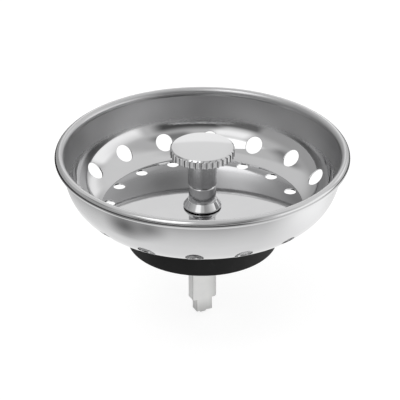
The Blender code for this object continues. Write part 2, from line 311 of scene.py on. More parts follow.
# %% [markdown]
# ### Soft lamps
#
# Metal needs no lamp, but the rubber and the nylon do. A large soft lamp above the camera's left shoulder
# gives them shape and lays a faint shadow on the floor. A low one in front, a little to the right, lights
# the broad face of the stem, so that its narrow end stays darker. Area lamps are used because a small lamp
# would give hard shadows. Mirrors don't show them, because the tent already holds all that the metal
# reflects.

# %% Add the soft lamps
SOFT_LAMPS = (
    # name, bearing, height, distance, width, depth, power
    ("softbox", -47, 52, 0.9, 0.5, 0.35, 0.6),
    ("low_fill", 28, 10, 0.6, 0.3, 0.2, 0.9),
)


def make_lamp(name, bearing, height, distance, width, depth, power):
    """A softbox that looks at the plug from a bearing and a height, given in degrees."""
    lamp_light = bpy.data.lights.new(name, "AREA")
    lamp_light.shape = "RECTANGLE"
    lamp_light.size = width
    lamp_light.size_y = depth
    lamp_light.energy = power
    lamp = bpy.data.objects.new(name, lamp_light)
    bpy.context.scene.collection.objects.link(lamp)
    flat = cos(radians(height))
    aim = Vector((sin(radians(bearing)) * flat, -cos(radians(bearing)) * flat, sin(radians(height))))
    lamp.location = Vector((0, 0, basket_base)) + aim * distance
    lamp.rotation_euler = aim.to_track_quat("Z", "Y").to_euler()
    lamp.visible_glossy = False
    return lamp


for settings in SOFT_LAMPS:
    lamp = make_lamp(*settings)
    print(lamp.name, "stands", round(lamp.location.length, 2), "m away")

# %% [markdown]
# ### The white sheet
#
# The floor is a plain white sheet. Straight looks see it with a glow added, which brings it up to the white
# of the background while the plug's shadow still shows a little. What the steel mirrors of it is a painted
# glow, with painted light and shade: bright close to the plug and darker further off, most of all to the
# front left, painted as the shade of the camera's stand, and behind the plug, where painted shade gives the
# rim its thin dark outline. Soft patches of painted light and shade lie on it too. Real cards and cloths
# could lie on the sheet, but they would show in the picture. So the sheet's material tells straight looks
# and mirrored ones apart.

# %% Shade what mirrors see of the sheet
MIRRORED_NEAR = 1.0
MIRRORED_BRIGHT = 0.86
MIRRORED_DIM = 0.1
MIRRORED_BEARING = radians(119)
MIRRORED_START = -0.032
MIRRORED_END = 0.1
NEAR_RADIUS = 0.047
FAR_RADIUS = 0.141
BACK_SHADE_START = 0.07
BACK_SHADE_END = 0.1
BACK_SHADE = 0.15
# Soft patches of painted light and painted shade, which only mirrors see on the sheet.
MIRRORED_LIGHT_PATCHES = (
    # x, y, radius, softness, level
    (-0.064, -0.042, 0.016, 0.016, 0.2),
    (-0.05, -0.064, 0.012, 0.014, 0.3),
    (0.095, -0.005, 0.04, 0.03, 1.35),
)


def mirrored_glow(tree):
    """The painted light and shade that a mirror sees at each place of the sheet."""
    place = add_node(tree, "ShaderNodeTexCoord").outputs["Object"]
    parts = split(tree, place)
    aside = compute(tree, "MULTIPLY", parts["X"], sin(MIRRORED_BEARING))
    along = compute(tree, "MULTIPLY_ADD", parts["Y"], -cos(MIRRORED_BEARING), aside)
    far = rise(tree, along, MIRRORED_START, MIRRORED_END, MIRRORED_DIM, MIRRORED_BRIGHT)
    near = rise(tree, measure(tree, "LENGTH", place), FAR_RADIUS, NEAR_RADIUS)
    level = mix(tree, near, far, MIRRORED_NEAR)
    for x, y, radius, softness, patch_level in MIRRORED_LIGHT_PATCHES:
        away = measure(tree, "DISTANCE", place, (x, y, 0))
        inside = rise(tree, away, radius + softness, radius - softness)
        level = mix(tree, inside, level, patch_level)
    # Painted shade behind the plug, which gives the rim its thin dark outline.
    behind = rise(tree, parts["Y"], BACK_SHADE_START, BACK_SHADE_END, 1.0, BACK_SHADE)
    return product(tree, level, behind)


print("what mirrors see of the sheet has", len(MIRRORED_LIGHT_PATCHES), "patches of its own")

# %% [markdown]
# A curved backdrop could hide the sheet's far edge. Here the sheet simply reaches far beyond the picture,
# and diffuse light sees plain white paper, so the plug is lit from below as it would be on a real sheet.

# %% Lay the floor
FLOOR_REACH = 3.0
FLOOR_WHITE = 0.8
FLOOR_GLOW = 0.8
FLOOR_SHEEN_SHARE = 0.4


def sheet_material():
    """White paper, with a glow of its own to straight looks and another to mirrored ones."""
    material = bpy.data.materials.new("white_sheet")
    material.use_nodes = True
    tree = material.node_tree
    tree.nodes.clear()
    path = add_node(tree, "ShaderNodeLightPath").outputs
    straight = path["Is Camera Ray"]
    plain = add_node(tree, "ShaderNodeBsdfDiffuse", {"Color": (FLOOR_WHITE, FLOOR_WHITE, FLOOR_WHITE, 1)})
    sheen = compute(tree, "MULTIPLY", straight, FLOOR_WHITE * FLOOR_SHEEN_SHARE)
    shaded = add_node(tree, "ShaderNodeBsdfDiffuse", {"Color": sheen})
    level = mix(tree, straight, mirrored_glow(tree), FLOOR_GLOW)
    glow = add_node(tree, "ShaderNodeEmission", {"Color": (1, 1, 1, 1), "Strength": level})
    white = add_node(tree, "ShaderNodeAddShader", {0: shaded.outputs[0], 1: glow.outputs[0]})
    seen = compute(tree, "MAXIMUM", straight, path["Is Glossy Ray"])
    seen = compute(tree, "MAXIMUM", seen, path["Is Transmission Ray"])
    surface = add_node(tree, "ShaderNodeMixShader", {0: seen, 1: plain.outputs[0], 2: white.outputs[0]})
    add_node(tree, "ShaderNodeOutputMaterial", {"Surface": surface.outputs[0]})
    return material


def make_floor():
    """A wide white sheet at the height of the plug's lowest point."""
    reach = FLOOR_REACH
    corners = [(-reach, -reach, 0), (reach, -reach, 0), (reach, reach, 0), (-reach, reach, 0)]
    mesh = bpy.data.meshes.new("floor")
    mesh.from_pydata(corners, [], [(0, 1, 2, 3)])
    mesh.materials.append(sheet_material())
    floor = bpy.data.objects.new("floor", mesh)
    bpy.context.scene.collection.objects.link(floor)
    floor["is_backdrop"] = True
    return floor


floor = make_floor()
print("the white sheet is", round(floor.dimensions.x, 1), "m wide")

# %% [markdown]
# ## Helpers for shapes
#
# Each piece is made as points and faces, and then goes through the same last steps. Its points are welded
# where they meet, and its faces turned outwards. It gets its finish, it is tied to the body that it moves
# with, and it takes the place of its solid. The steps could be written out for each piece, but as helpers
# they can't be forgotten.

# %% Helpers that finish a piece
import bmesh

WELD_DISTANCE = 0.0000005


def close_up(mesh, builder):
    """Write welded points and faces into a mesh, and say whether an edge is left open."""
    bmesh.ops.recalc_face_normals(builder, faces=builder.faces)
    open_edges = sum(not edge.is_manifold for edge in builder.edges)
    builder.to_mesh(mesh)
    builder.free()
    mesh.shade_smooth()
    print(mesh.name, "has", len(mesh.polygons), "faces and", open_edges, "open edges")


def set_in_place(name, mesh, material, body, node):
    """Make a piece of a mesh: give it its finish and its body, and let it stand for its solid."""
    mesh.materials.append(material)
    piece = bpy.data.objects.new(name, mesh)
    bpy.context.scene.collection.objects.link(piece)
    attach(piece, body)
    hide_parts(node)
    print("and it measures", [round(1000 * side, 2) for side in piece.dimensions], "mm")
    return piece


print("points nearer than", 1000 * WELD_DISTANCE, "mm are welded together")

# %% [markdown]
# ### A shell with exact facings
#
# Mirror-bright metal shows every flaw in a mesh: where the shading normals wobble, so do the reflections. A
# subdivision surface would wobble near the holes. So each point here carries the exact direction its
# surface faces, worked out from the drawing and not from the facets. Shell collects points with their
# facings and the faces between them, and turns them into a finished piece.

# %% Helper that collects a shell
class Shell:
    """Points, the direction each one faces, and the faces between them."""

    def __init__(self):
        self.points = []
        self.facings = []
        self.faces = []

    def add_rows(self, rows):
        """Skin closed rings of (point, facing) that all have the same length."""
        first = len(self.points)
        width = len(rows[0])
        for row in rows:
            for point, facing in row:
                self.points.append(point)
                self.facings.append(facing)
        for level in range(len(rows) - 1):
            below = first + level * width
            above = below + width
            for column in range(width):
                after = (column + 1) % width
                self.faces.append((below + column, below + after, above + after, above + column))

    def build(self, name, material, body, node):
        """Weld the shell shut, keep each point's facing, and set the piece in place."""
        mesh = bpy.data.meshes.new(name)
        mesh.from_pydata(self.points, [], self.faces)
        kept = mesh.attributes.new("facing", "FLOAT_VECTOR", "POINT")
        kept.data.foreach_set("vector", [part for facing in self.facings for part in facing])
        builder = bmesh.new()
        builder.from_mesh(mesh)
        bmesh.ops.remove_doubles(builder, verts=builder.verts, dist=WELD_DISTANCE)
        close_up(mesh, builder)
        facings = [tuple(item.vector) for item in mesh.attributes["facing"].data]
        mesh.attributes.remove(mesh.attributes["facing"])
        mesh.normals_split_custom_set_from_vertices(facings)
        return set_in_place(name, mesh, material, body, node)


print("a new shell starts with", len(Shell().points), "points")

# %% [markdown]
# ### Turned pieces
#
# Most of the plug is turned work: the same outline all the way round. A Screw modifier on a drawn profile
# could spin it, but it would lose the exact facings. An outline here is a list of corners, each with its
# radius, its height and how much it is rounded. The solid lies on the left of the outline's way. A sharp
# corner doesn't exist on a real piece, and the small rounding is what catches the light along an edge.

# %% Helpers for turned pieces
ROUNDING_STEP = radians(15)
FINE_EDGE = 0.0001
SOFT_EDGE = 0.0002


def rounded_outline(corners, closed=True):
    """Outline points (radius, height) with their facings, from corners (radius, height, rounding)."""
    count = len(corners)
    outline = []
    for index, (radius, height, rounding) in enumerate(corners):
        here = Vector((radius, height))
        before = Vector(corners[index - 1][:2]) if closed or index > 0 else None
        after = Vector(corners[(index + 1) % count][:2]) if closed or index < count - 1 else None
        if before is None or after is None:
            way = (after - here) if before is None else (here - before)
            way.normalize()
            outline.append((here, Vector((way.y, -way.x))))
            continue
        arriving = (here - before).normalized()
        leaving = (after - here).normalized()
        turn = atan2(arriving.x * leaving.y - arriving.y * leaving.x, arriving.dot(leaving))
        side = 1 if turn > 0 else -1
        first_facing = Vector((arriving.y, -arriving.x))
        centre = here - arriving * rounding * tan(abs(turn) / 2) - first_facing * rounding * side
        steps = max(2, ceil(abs(turn) / ROUNDING_STEP))
        for step in range(steps + 1):
            angle = turn * step / steps
            facing = Vector((
                first_facing.x * cos(angle) - first_facing.y * sin(angle),
                first_facing.x * sin(angle) + first_facing.y * cos(angle),
            ))
            outline.append((centre + facing * rounding * side, facing))
    return outline


def spun_row(point, facing, turns):
    """One outline point carried round the axis to each of the turns."""
    row = []
    for turn in turns:
        outward = Vector((cos(turn), sin(turn), 0))
        row.append((
            outward * point[0] + Vector((0, 0, point[1])),
            outward * facing[0] + Vector((0, 0, facing[1])),
        ))
    return row


def even_turns(count, start=0.0):
    """Evenly spaced angles all the way round."""
    return [start + 2 * pi * index / count for index in range(count)]


def add_turned(shell, outline, columns):
    """Spin a closed outline into a shell."""
    turns = even_turns(columns)
    rows = [spun_row(point, facing, turns) for point, facing in outline]
    shell.add_rows(rows + rows[:1])


sample = rounded_outline([(0, 0, 0), (1, 0, 0.1), (1, 1, 0)], closed=False)
print("a square corner is rounded with", len(sample) - 2, "points")

# %% [markdown]
# ## The basket
#
# The basket is one sheet of stainless steel. A press draws it into a cup, leaves a rounded shoulder above
# the flat floor, and rolls the edge over into a bead. A plane with a Solidify modifier could stand for it,
# but its thickness would thin out in the tight bends. In section the sheet is a line and its offset, so the
# piece is built from the inner line: floor, a small rounding at the edge of the floor, the long arc of the
# shoulder, the wall, and the bead. The wall isn't quite straight. It is bowed by about a fifth of a
# millimetre, which the eye doesn't see in its outline, but the light does: it draws a bright band along the
# wall. Each point of the line knows which way the sheet faces there.

# %% Draw the section of the sheet
def arc_run(centre, radius, start, end, steps, side=-1):
    """Points along an arc between two angles, facing its centre, or away from it where side is 1."""
    run = []
    for step in range(steps + 1):
        angle = start + (end - start) * step / steps
        outward = Vector((cos(angle), sin(angle)))
        run.append((centre + outward * radius, outward * side))
    return run


class BasketSection:
    """The inner line of the sheet, as runs of (point, facing) from the post hole to the end of the bead."""

    def __init__(self):
        self.bead_radius = RIM_BEAD_DIAMETER / 2
        self.bead_centre = Vector((RIM_DIAMETER / 2 - self.bead_radius, rim_height))
        self.wall_offset = RIM_BEAD_BULGE - self.bead_radius
        self.place_shoulder()
        self.place_corner()
        self.place_wall()

    def place_shoulder(self):
        """The long arc that leaves the foot of the wall and comes down to the edge of the floor."""
        foot_height = rim_height - WALL_DEPTH
        foot_radius = self.bead_centre.x + self.wall_offset - WALL_DEPTH * tan(WALL_TAPER)
        across = FLOOR_DIAMETER / 2 - foot_radius
        down = floor_top - foot_height
        lean = down * sin(WALL_TAPER) - across * cos(WALL_TAPER)
        self.shoulder_radius = (across ** 2 + down ** 2) / (2 * lean)
        self.shoulder_centre = Vector((
            foot_radius - self.shoulder_radius * cos(WALL_TAPER),
            foot_height + self.shoulder_radius * sin(WALL_TAPER),
        ))

    def place_corner(self):
        """The small rounding between the shoulder and the floor."""
        above_floor = self.shoulder_centre.y - floor_top
        self.corner_angle = atan2(above_floor, FLOOR_DIAMETER / 2 - self.shoulder_centre.x)
        drop = above_floor - CORNER_ROUNDING
        reach = sqrt((self.shoulder_radius - CORNER_ROUNDING) ** 2 - drop ** 2)
        self.corner_radius = self.shoulder_centre.x + reach
        self.arc_end = atan2(drop, reach)

    def place_wall(self):
        """The slight bow of the wall, and the small hollow between it and the bead."""
        out = Vector((cos(BOW_START), -sin(BOW_START)))
        start = self.shoulder_centre + out * self.shoulder_radius
        span = self.bead_centre + Vector((self.wall_offset, 0)) - start
        self.bow_radius = span.y / (sin(BOW_START) - sin(2 * atan2(span.x, span.y) - BOW_START))
        self.bow_centre = start - out * self.bow_radius
        apart = self.bead_centre - self.bow_centre
        to_crease = self.bow_radius - RIM_CREASE_RADIUS
        reach = self.bead_radius + RIM_CREASE_RADIUS
        bend = acos((to_crease ** 2 + apart.length_squared - reach ** 2) / (2 * to_crease * apart.length))
        self.bow_end = atan2(-apart.y, apart.x) + bend
        self.crease_centre = self.bow_centre + Vector((cos(self.bow_end), -sin(self.bow_end))) * to_crease
        to_bead = self.bead_centre - self.crease_centre
        self.crease_angle = atan2(to_bead.y, to_bead.x)

    def floor_run(self, start, end, steps):
        """The flat floor between two radii."""
        return [
            (Vector((start + (end - start) * step / steps, floor_top)), Vector((0, 1)))
            for step in range(steps + 1)
        ]

    def corner_run(self, steps):
        """The small rounding at the edge of the floor."""
        centre = Vector((self.corner_radius, floor_top + CORNER_ROUNDING))
        return arc_run(centre, CORNER_ROUNDING, -pi / 2, -self.arc_end, steps)

    def shoulder_run(self, start, end, steps):
        """The shoulder's arc between two angles below the horizontal."""
        return arc_run(self.shoulder_centre, self.shoulder_radius, -start, -end, steps)

    def bow_run(self, steps):
        """The wall, from the shoulder up to the hollow under the rolled edge."""
        return arc_run(self.bow_centre, self.bow_radius, -BOW_START, -self.bow_end, steps)

    def crease_run(self, steps):
        """The hollow between the wall and the rolled edge."""
        return arc_run(self.crease_centre, RIM_CREASE_RADIUS, -self.bow_end, self.crease_angle, steps)

    def bead_run(self, steps):
        """The rolled edge, over the top and under, until it nearly meets the wall."""
        end = -acos((self.wall_offset + SHEET_THICKNESS + SEAM_GAP) / self.bead_radius)
        return arc_run(self.bead_centre, self.bead_radius, pi + self.crease_angle, end, steps, side=1)


section = BasketSection()
print("the shoulder's arc has a radius of", round(1000 * section.shoulder_radius, 2), "mm")
print("and meets the floor at", round(90 - degrees(section.corner_angle), 1), "degrees")

# %% [markdown]
# ### Holes with rounded lips
#
# Sixteen large holes sit on the shoulder and sixteen small ones at the edge of the floor. They let the
# water through and keep the scraps. Their sizes and places are the ones that the solid has.

# %% Place the holes
HOLE_COUNT = 16
HOLE_TURN = radians(18.9)
SIDE_HOLE_WIDTH = 0.005
SIDE_HOLE_LENGTH = 0.0054
SIDE_HOLE_PLACE_SHARE = 0.55
SIDE_BAND_REACH = radians(18.6)
FLOOR_HOLE_DIAMETER = 0.0034
FLOOR_HOLE_MARGIN = 0.0003
FLOOR_BAND_REACH = 0.0028

sector = 2 * pi / HOLE_COUNT
side_hole_angle = WALL_TAPER + (section.corner_angle - WALL_TAPER) * SIDE_HOLE_PLACE_SHARE
side_hole_radius = section.shoulder_centre.x + section.shoulder_radius * cos(side_hole_angle)
side_band_low = side_hole_angle + SIDE_BAND_REACH
side_band_high = BOW_START
floor_hole_circle = FLOOR_DIAMETER / 2 - FLOOR_HOLE_MARGIN - FLOOR_HOLE_DIAMETER / 2
floor_band_start = floor_hole_circle - FLOOR_BAND_REACH
print("the large holes sit on a circle", round(2000 * side_hole_radius, 1), "mm across")
print("the small holes sit on a circle", round(2000 * floor_hole_circle, 1), "mm across")

# %% [markdown]
# ### Places on the sheet
#
# The sheet round a hole is drawn flat first, by how far a point lies across and up from the hole's middle,
# and then laid in place. On the shoulder, up follows the long arc, and on the floor it runs outwards. A
# Shrinkwrap modifier could lay it there, but a formula also gives the exact way that the sheet faces.

# %% Find places on the sheet
def shoulder_place(turn, across, up):
    """A place on the shoulder beside a large hole, with its facing and the two directions along the sheet."""
    angle = side_hole_angle - up / section.shoulder_radius
    theta = turn + across / side_hole_radius
    outward = Vector((cos(theta), sin(theta), 0))
    facing = -outward * cos(angle) + Vector((0, 0, sin(angle)))
    centre = outward * section.shoulder_centre.x + Vector((0, 0, section.shoulder_centre.y))
    along = Vector((-sin(theta), cos(theta), 0))
    upward = outward * sin(angle) + Vector((0, 0, cos(angle)))
    return centre - facing * section.shoulder_radius, facing, along, upward


def floor_place(turn, across, up):
    """A place on the floor beside a small hole, with its facing and the two directions along the sheet."""
    theta = turn + across / floor_hole_circle
    outward = Vector((cos(theta), sin(theta), 0))
    point = outward * (floor_hole_circle + up) + Vector((0, 0, floor_top))
    return point, Vector((0, 0, 1)), Vector((-sin(theta), cos(theta), 0)), outward


hole_middle = shoulder_place(0, 0, 0)[0]
print("the middle of a large hole is", round(1000 * (hole_middle.z - floor_top), 2), "mm above the floor")

# %% [markdown]
# A Boolean cut would leave long thin faces that ruin the reflections around a hole. So each hole gets its
# own patch of the sheet: rings of points that change from the rectangle between its neighbours to the round
# hole, then go over a rounded lip, through the thickness and out along the underside. The patches share
# their outer points with the plain rows of the sheet, so the weld joins them without a seam.

# %% Make the patch round a hole
HOLE_LIP = 0.00009
SECTOR_COLUMNS = 16
PATCH_ROWS = 8
PATCH_SHARES = (0.0, 0.28, 0.52, 0.72, 0.87, 1.0)
LIP_STEPS = 4


def patch_border(half_width, low, high):
    """Points round the rectangle that a hole's patch fills, anticlockwise from its lower left corner."""
    border = []
    for step in range(SECTOR_COLUMNS):
        border.append((-half_width + 2 * half_width * step / SECTOR_COLUMNS, low))
    for step in range(PATCH_ROWS):
        border.append((half_width, low + (high - low) * step / PATCH_ROWS))
    for step in range(SECTOR_COLUMNS):
        border.append((half_width - 2 * half_width * step / SECTOR_COLUMNS, high))
    for step in range(PATCH_ROWS):
        border.append((-half_width, high - (high - low) * step / PATCH_ROWS))
    return border


def add_hole_patch(shell, place, turn, border, width, length):
    """The patch of sheet round one hole: in along the top, over the lip, through, and out underneath."""
    spokes = []
    for across, up in border:
        angle = atan2(up / length, across / width)
        out = Vector((cos(angle) / width, sin(angle) / length)).normalized()
        spokes.append((Vector((across, up)), Vector((width * cos(angle), length * sin(angle))) / 2, out))

    def ring(share, lip_angle, under=False):
        """One ring of the patch: share says how near the hole it is, lip_angle how far round the lip."""
        row = []
        for corner, hole, out in spokes:
            spot = corner.lerp(hole + out * HOLE_LIP * (1 - sin(lip_angle)), share)
            point, facing, along, upward = place(turn, *spot)
            away = along * out.x + upward * out.y
            depth = HOLE_LIP * (1 - cos(lip_angle))
            if under:
                depth += SHEET_THICKNESS - 2 * HOLE_LIP
            row.append((point - facing * depth, facing * cos(lip_angle) - away * sin(lip_angle)))
        return row

    rows = [ring(share, 0) for share in PATCH_SHARES]
    rows += [ring(1, pi / 2 * step / LIP_STEPS) for step in range(1, LIP_STEPS + 1)]
    rows += [ring(1, pi / 2 * (1 + step / LIP_STEPS), under=True) for step in range(LIP_STEPS + 1)]
    rows += [ring(share, pi, under=True) for share in PATCH_SHARES[-2::-1]]
    shell.add_rows(rows)


print("each patch joins the sheet at", len(patch_border(1, -1, 1)), "points")

# %% [markdown]
# ### The marks in pressed steel
#
# The press leaves fine lines up the wall, where the sheet was drawn over the tool, and the flat floor is
# crossed by rings from turning. Two stretched noises make the lines. One is laid out round the axis, the
# other up the wall. An anisotropic shader could blur along the lines, but here the lines themselves show at
# this size. Their places use the direction from the axis rather than an angle, so there is no seam where an
# angle would jump. Thin hairline scratches come from the narrow band where a noise crosses its middle
# value.

# %% Draw the marks
RING_LINES = 5200.0
RING_WAVES = 2.5
DRAW_LINES = 80.0
DRAW_CHANGE = 120.0
SCRATCH_TURN = (0.3, 0.5, 0.9)
SCRATCH_STRETCH = (18.0, 260.0, 90.0)
SCRATCH_EDGE = 0.012
SCRATCH_CORE = 0.004


def seamless_place(tree, around, lines, third):
    """A place for a noise that runs round the axis without a seam."""
    x = compute(tree, "MULTIPLY", around["X"], lines)
    y = compute(tree, "MULTIPLY", around["Y"], lines)
    return join(tree, x, y, third)


def ring_marks(tree, around, radius, height):
    """Fine rings round the axis, which waver a little on their way."""
    outwards = compute(tree, "MULTIPLY", radius, RING_LINES)
    upwards = compute(tree, "MULTIPLY", height, RING_LINES)
    place = seamless_place(tree, around, RING_WAVES, outwards)
    inputs = {"Vector": place, "W": upwards, "Scale": 1.0, "Detail": 3.0}
    return add_node(tree, "ShaderNodeTexNoise", inputs, noise_dimensions="4D").outputs[0]


def draw_marks(tree, around, height):
    """Fine lines that run up the wall."""
    upwards = compute(tree, "MULTIPLY", height, DRAW_CHANGE)
    return noise(tree, seamless_place(tree, around, DRAW_LINES, upwards), 1.0, 1.0)


def scratch_marks(tree, place):
    """Thin scratches, where a stretched noise crosses its middle value."""
    inputs = {"Vector": place, "Rotation": SCRATCH_TURN, "Scale": SCRATCH_STRETCH}
    stretched = add_node(tree, "ShaderNodeMapping", inputs).outputs[0]
    crossing = compute(tree, "SUBTRACT", noise(tree, stretched, 1.0, 1.0), 0.5)
    return rise(tree, compute(tree, "ABSOLUTE", crossing), SCRATCH_EDGE, SCRATCH_CORE)


print("the rings lie about", round(1000 / RING_LINES, 2), "mm apart")

# %% [markdown]
# ### The finish of pressed steel
#
# The wall keeps the satin skin of the press, and the floor was polished afterwards and mirrors the post. Two
# materials would need a hard border between them. One material with a roughness that changes with height
# lets the polish fade out over the shoulder, as it does under a polishing wheel. The outside is smoother
# than the inside, because the die burnishes it.

# %% Mix the pressed steel
POLISHED_COLOUR = (0.62, 0.62, 0.625)
SATIN_COLOUR = (0.56, 0.56, 0.565)
POLISHED_ROUGHNESS = 0.035
SATIN_ROUGHNESS = 0.29
OUTSIDE_ROUGHNESS = 0.11
SATIN_START = 0.0066
SATIN_FULL = 0.0092
OUTWARD_FACING = (-0.1, 0.1)
UPWARD_FACING = (0.8, 0.98)
DRAW_ROUGHENING = 0.03
RING_ROUGHENING = 0.02
SCRATCH_ROUGHENING = 0.03
DRAW_RELIEF = 0.0000005
RING_RELIEF = 0.0000004
SWELLS_PER_METRE = 160.0
SWELL_TONE = 0.06
SWELL_RELIEF = 0.000007


def steel_material():
    """Satin pressed steel with a polished floor."""
    material, tree, shader, place = new_finish("pressed_steel_finish")
    shader.inputs["Metallic"].default_value = 1.0
    parts = split(tree, place)
    flat = join(tree, parts["X"], parts["Y"])
    outward = add_node(tree, "ShaderNodeVectorMath", {0: flat}, operation="NORMALIZE").outputs["Vector"]
    around = split(tree, outward)
    rings = ring_marks(tree, around, measure(tree, "LENGTH", flat), parts["Z"])
    draws = draw_marks(tree, around, parts["Z"])
    swells = noise(tree, place, SWELLS_PER_METRE, 1.0)

    facing = add_node(tree, "ShaderNodeTexCoord").outputs["Normal"]
    above_floor = compute(tree, "SUBTRACT", parts["Z"], floor_top)
    on_wall = rise(tree, above_floor, SATIN_START, SATIN_FULL)
    outside = rise(tree, measure(tree, "DOT_PRODUCT", facing, outward), *OUTWARD_FACING)
    inner_wall = product(tree, on_wall, compute(tree, "SUBTRACT", 1.0, outside))
    faces_up = rise(tree, measure(tree, "DOT_PRODUCT", facing, (0, 0, 1)), *UPWARD_FACING)

    satin = waver(tree, mix(tree, outside, SATIN_ROUGHNESS, OUTSIDE_ROUGHNESS), draws, DRAW_ROUGHENING)
    polished = waver(tree, POLISHED_ROUGHNESS, rings, RING_ROUGHENING)
    smooth = mix(tree, on_wall, polished, satin)
    roughness = compute(tree, "MULTIPLY_ADD", scratch_marks(tree, place), SCRATCH_ROUGHENING, smooth)
    tree.links.new(roughness, shader.inputs["Roughness"])
    steel = mix_colours(tree, inner_wall, POLISHED_COLOUR, SATIN_COLOUR)
    tree.links.new(dim(tree, steel, waver(tree, 1.0, swells, SWELL_TONE)), shader.inputs["Base Color"])

    lines = product(tree, draws, on_wall, DRAW_RELIEF)
    turning = product(tree, rings, faces_up, RING_RELIEF)
    relief = compute(tree, "MULTIPLY_ADD", swells, SWELL_RELIEF, compute(tree, "ADD", lines, turning))
    give_relief(tree, shader, relief)
    return material


pressed_steel = steel_material()
print("the steel's roughness is", POLISHED_ROUGHNESS, "on the floor and", SATIN_ROUGHNESS, "on the wall")

# %% [markdown]
# ### The sheet's other face and its end
#
# The outside of the basket is the inner line moved out by the sheet's thickness. Where the sheet was cut,
# at the post hole and at the end of the bead, a rounded end joins both faces. A Solidify modifier would
# leave that end square.

# %% Give the sheet its thickness
EDGE_ROUND_STEPS = 6


def underside(run):
    """The other face of the sheet behind a run."""
    return [(point - facing * SHEET_THICKNESS, -facing) for point, facing in run]


def sheet_end(point, facing, way):
    """The rounded cut edge of the sheet, from the inner face to the outer one."""
    half = SHEET_THICKNESS / 2
    centre = point - facing * half
    end = []
    for step in range(1, EDGE_ROUND_STEPS):
        angle = pi * step / EDGE_ROUND_STEPS
        aim = facing * cos(angle) + way * sin(angle)
        end.append((centre + aim * half, aim))
    return end


print("the sheet's rounded end has a radius of", 1000 * SHEET_THICKNESS / 2, "mm")

# %% [markdown]
# ### Putting the basket together
#
# Four plain strips of sheet lie between the bands of holes: round the post hole, the inner and the outer
# face at the edge of the floor, and everything above the large holes, where the sheet's end is rounded and
# both faces join at the bead. The strips and the patches go into one shell, because the real basket is one
# sheet.

# %% Build the basket
FLOOR_STEPS = 8
CORNER_STEPS = 3
LOW_SHOULDER_STEPS = 4
BOW_STEPS = 14
CREASE_STEPS = 6
BEAD_STEPS = 32


def build_basket():
    """The whole basket: plain strips of sheet, and a patch of sheet round each hole."""
    shell = Shell()
    columns = HOLE_COUNT * SECTOR_COLUMNS
    turns = even_turns(columns, HOLE_TURN - sector / 2)
    middle = section.floor_run(POST_HOLE_RADIUS + SHEET_THICKNESS / 2, floor_band_start, FLOOR_STEPS)
    low_shoulder = section.shoulder_run(section.arc_end, side_band_low, LOW_SHOULDER_STEPS)
    corner = section.corner_run(CORNER_STEPS) + low_shoulder[1:]
    wall = section.bow_run(BOW_STEPS) + section.crease_run(CREASE_STEPS)[1:]
    wall += section.bead_run(BEAD_STEPS)[1:]
    bead_end, bead_facing = wall[-1]
    rolled_edge = sheet_end(bead_end, bead_facing, Vector((bead_facing.y, -bead_facing.x)))
    strips = [
        middle[::-1] + sheet_end(middle[0][0], middle[0][1], Vector((-1, 0))) + underside(middle),
        corner,
        underside(corner),
        wall + rolled_edge + underside(wall)[::-1],
    ]
    for strip in strips:
        shell.add_rows([spun_row(point, facing, turns) for point, facing in strip])
    low = (side_hole_angle - side_band_low) * section.shoulder_radius
    high = (side_hole_angle - side_band_high) * section.shoulder_radius
    side_border = patch_border(sector / 2 * side_hole_radius, low, high)
    inner = floor_band_start - floor_hole_circle
    outer = section.corner_radius - floor_hole_circle
    floor_border = patch_border(sector / 2 * floor_hole_circle, inner, outer)
    for index in range(HOLE_COUNT):
        turn = HOLE_TURN + sector * index
        add_hole_patch(shell, shoulder_place, turn, side_border, SIDE_HOLE_WIDTH, SIDE_HOLE_LENGTH)
        add_hole_patch(shell, floor_place, turn, floor_border, FLOOR_HOLE_DIAMETER, FLOOR_HOLE_DIAMETER)
    return shell.build("steel_basket", pressed_steel, "basket", "basket")


build_basket()

# %% [markdown]
# ## The knob's sizes
#
# The knob is a milled disc on a round hub. Its sizes come before its finish, because the chrome has to know
# where the hub ends and where the flutes are. They could be painted masks, but places measured from the
# solid stay right when a size changes.

# %% State the knob's sizes
HUB_LENGTH = 0.00874
KNOB_DIAMETER = 0.0181
KNOB_THICKNESS = 0.00266
FLUTE_TOP_MARGIN = 0.0003

knob_radius = KNOB_DIAMETER / 2
knob_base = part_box("knob")[0].z
disc_base = knob_base + HUB_LENGTH
disc_top = disc_base + KNOB_THICKNESS
print("the knob's disc is", round(2000 * knob_radius, 1), "mm across, at", round(1000 * disc_base, 1), "mm")

# %% [markdown]
# ## Chrome for the post
#
# The knob and the collar are plated bright. Chrome is smoother than the steel, but never perfect: the
# plating has a faint orange peel, a few pin-prick pits, and wiping leaves it a touch duller in places. The
# hub is duller, and its colour is darkened as painted shade. Painted shade also darkens the steep sides of
# the knob's flutes and draws a thin line round each flute, and the edge that the flutes cross is made paler
# as a painted highlight. The line could be a piece of its own, but it is only colour, so the material finds
# it by how deep a place lies under the knob's full radius. This cell says where each of these is, and the
# next one mixes them.

# %% Find the hub, the flutes and the paste
# Depths under the knob's full radius where the flutes' painted shade lies.
MASK_FADE = 0.0001
FLUTE_SHADE_START = 0.00002
FLUTE_SHADE_FULL = 0.00006
FLUTE_SHADE_FADE = 0.00026
FLUTE_SHADE_END = 0.00034
FLUTE_SHADE_BREAKUP = (0.3, 0.5, 0.7, 1.0)


def hub_share(tree, height):
    """1 on the hub, and 0 on the disc and on the collar."""
    above_collar = rise(tree, height, knob_base - 2 * MASK_FADE, knob_base)
    under_disc = rise(tree, height, disc_base + MASK_FADE, disc_base - MASK_FADE)
    return product(tree, above_collar, under_disc)


def edge_share(tree, height):
    """1 at the heights of the disc's edge that the flutes cross, and 0 elsewhere."""
    flutes_end = disc_top - FLUTE_TOP_MARGIN
    under_top = rise(tree, height, flutes_end, flutes_end - MASK_FADE / 2)
    above_base = rise(tree, height, disc_base - MASK_FADE / 10, disc_base + MASK_FADE / 5)
    return product(tree, under_top, above_base)


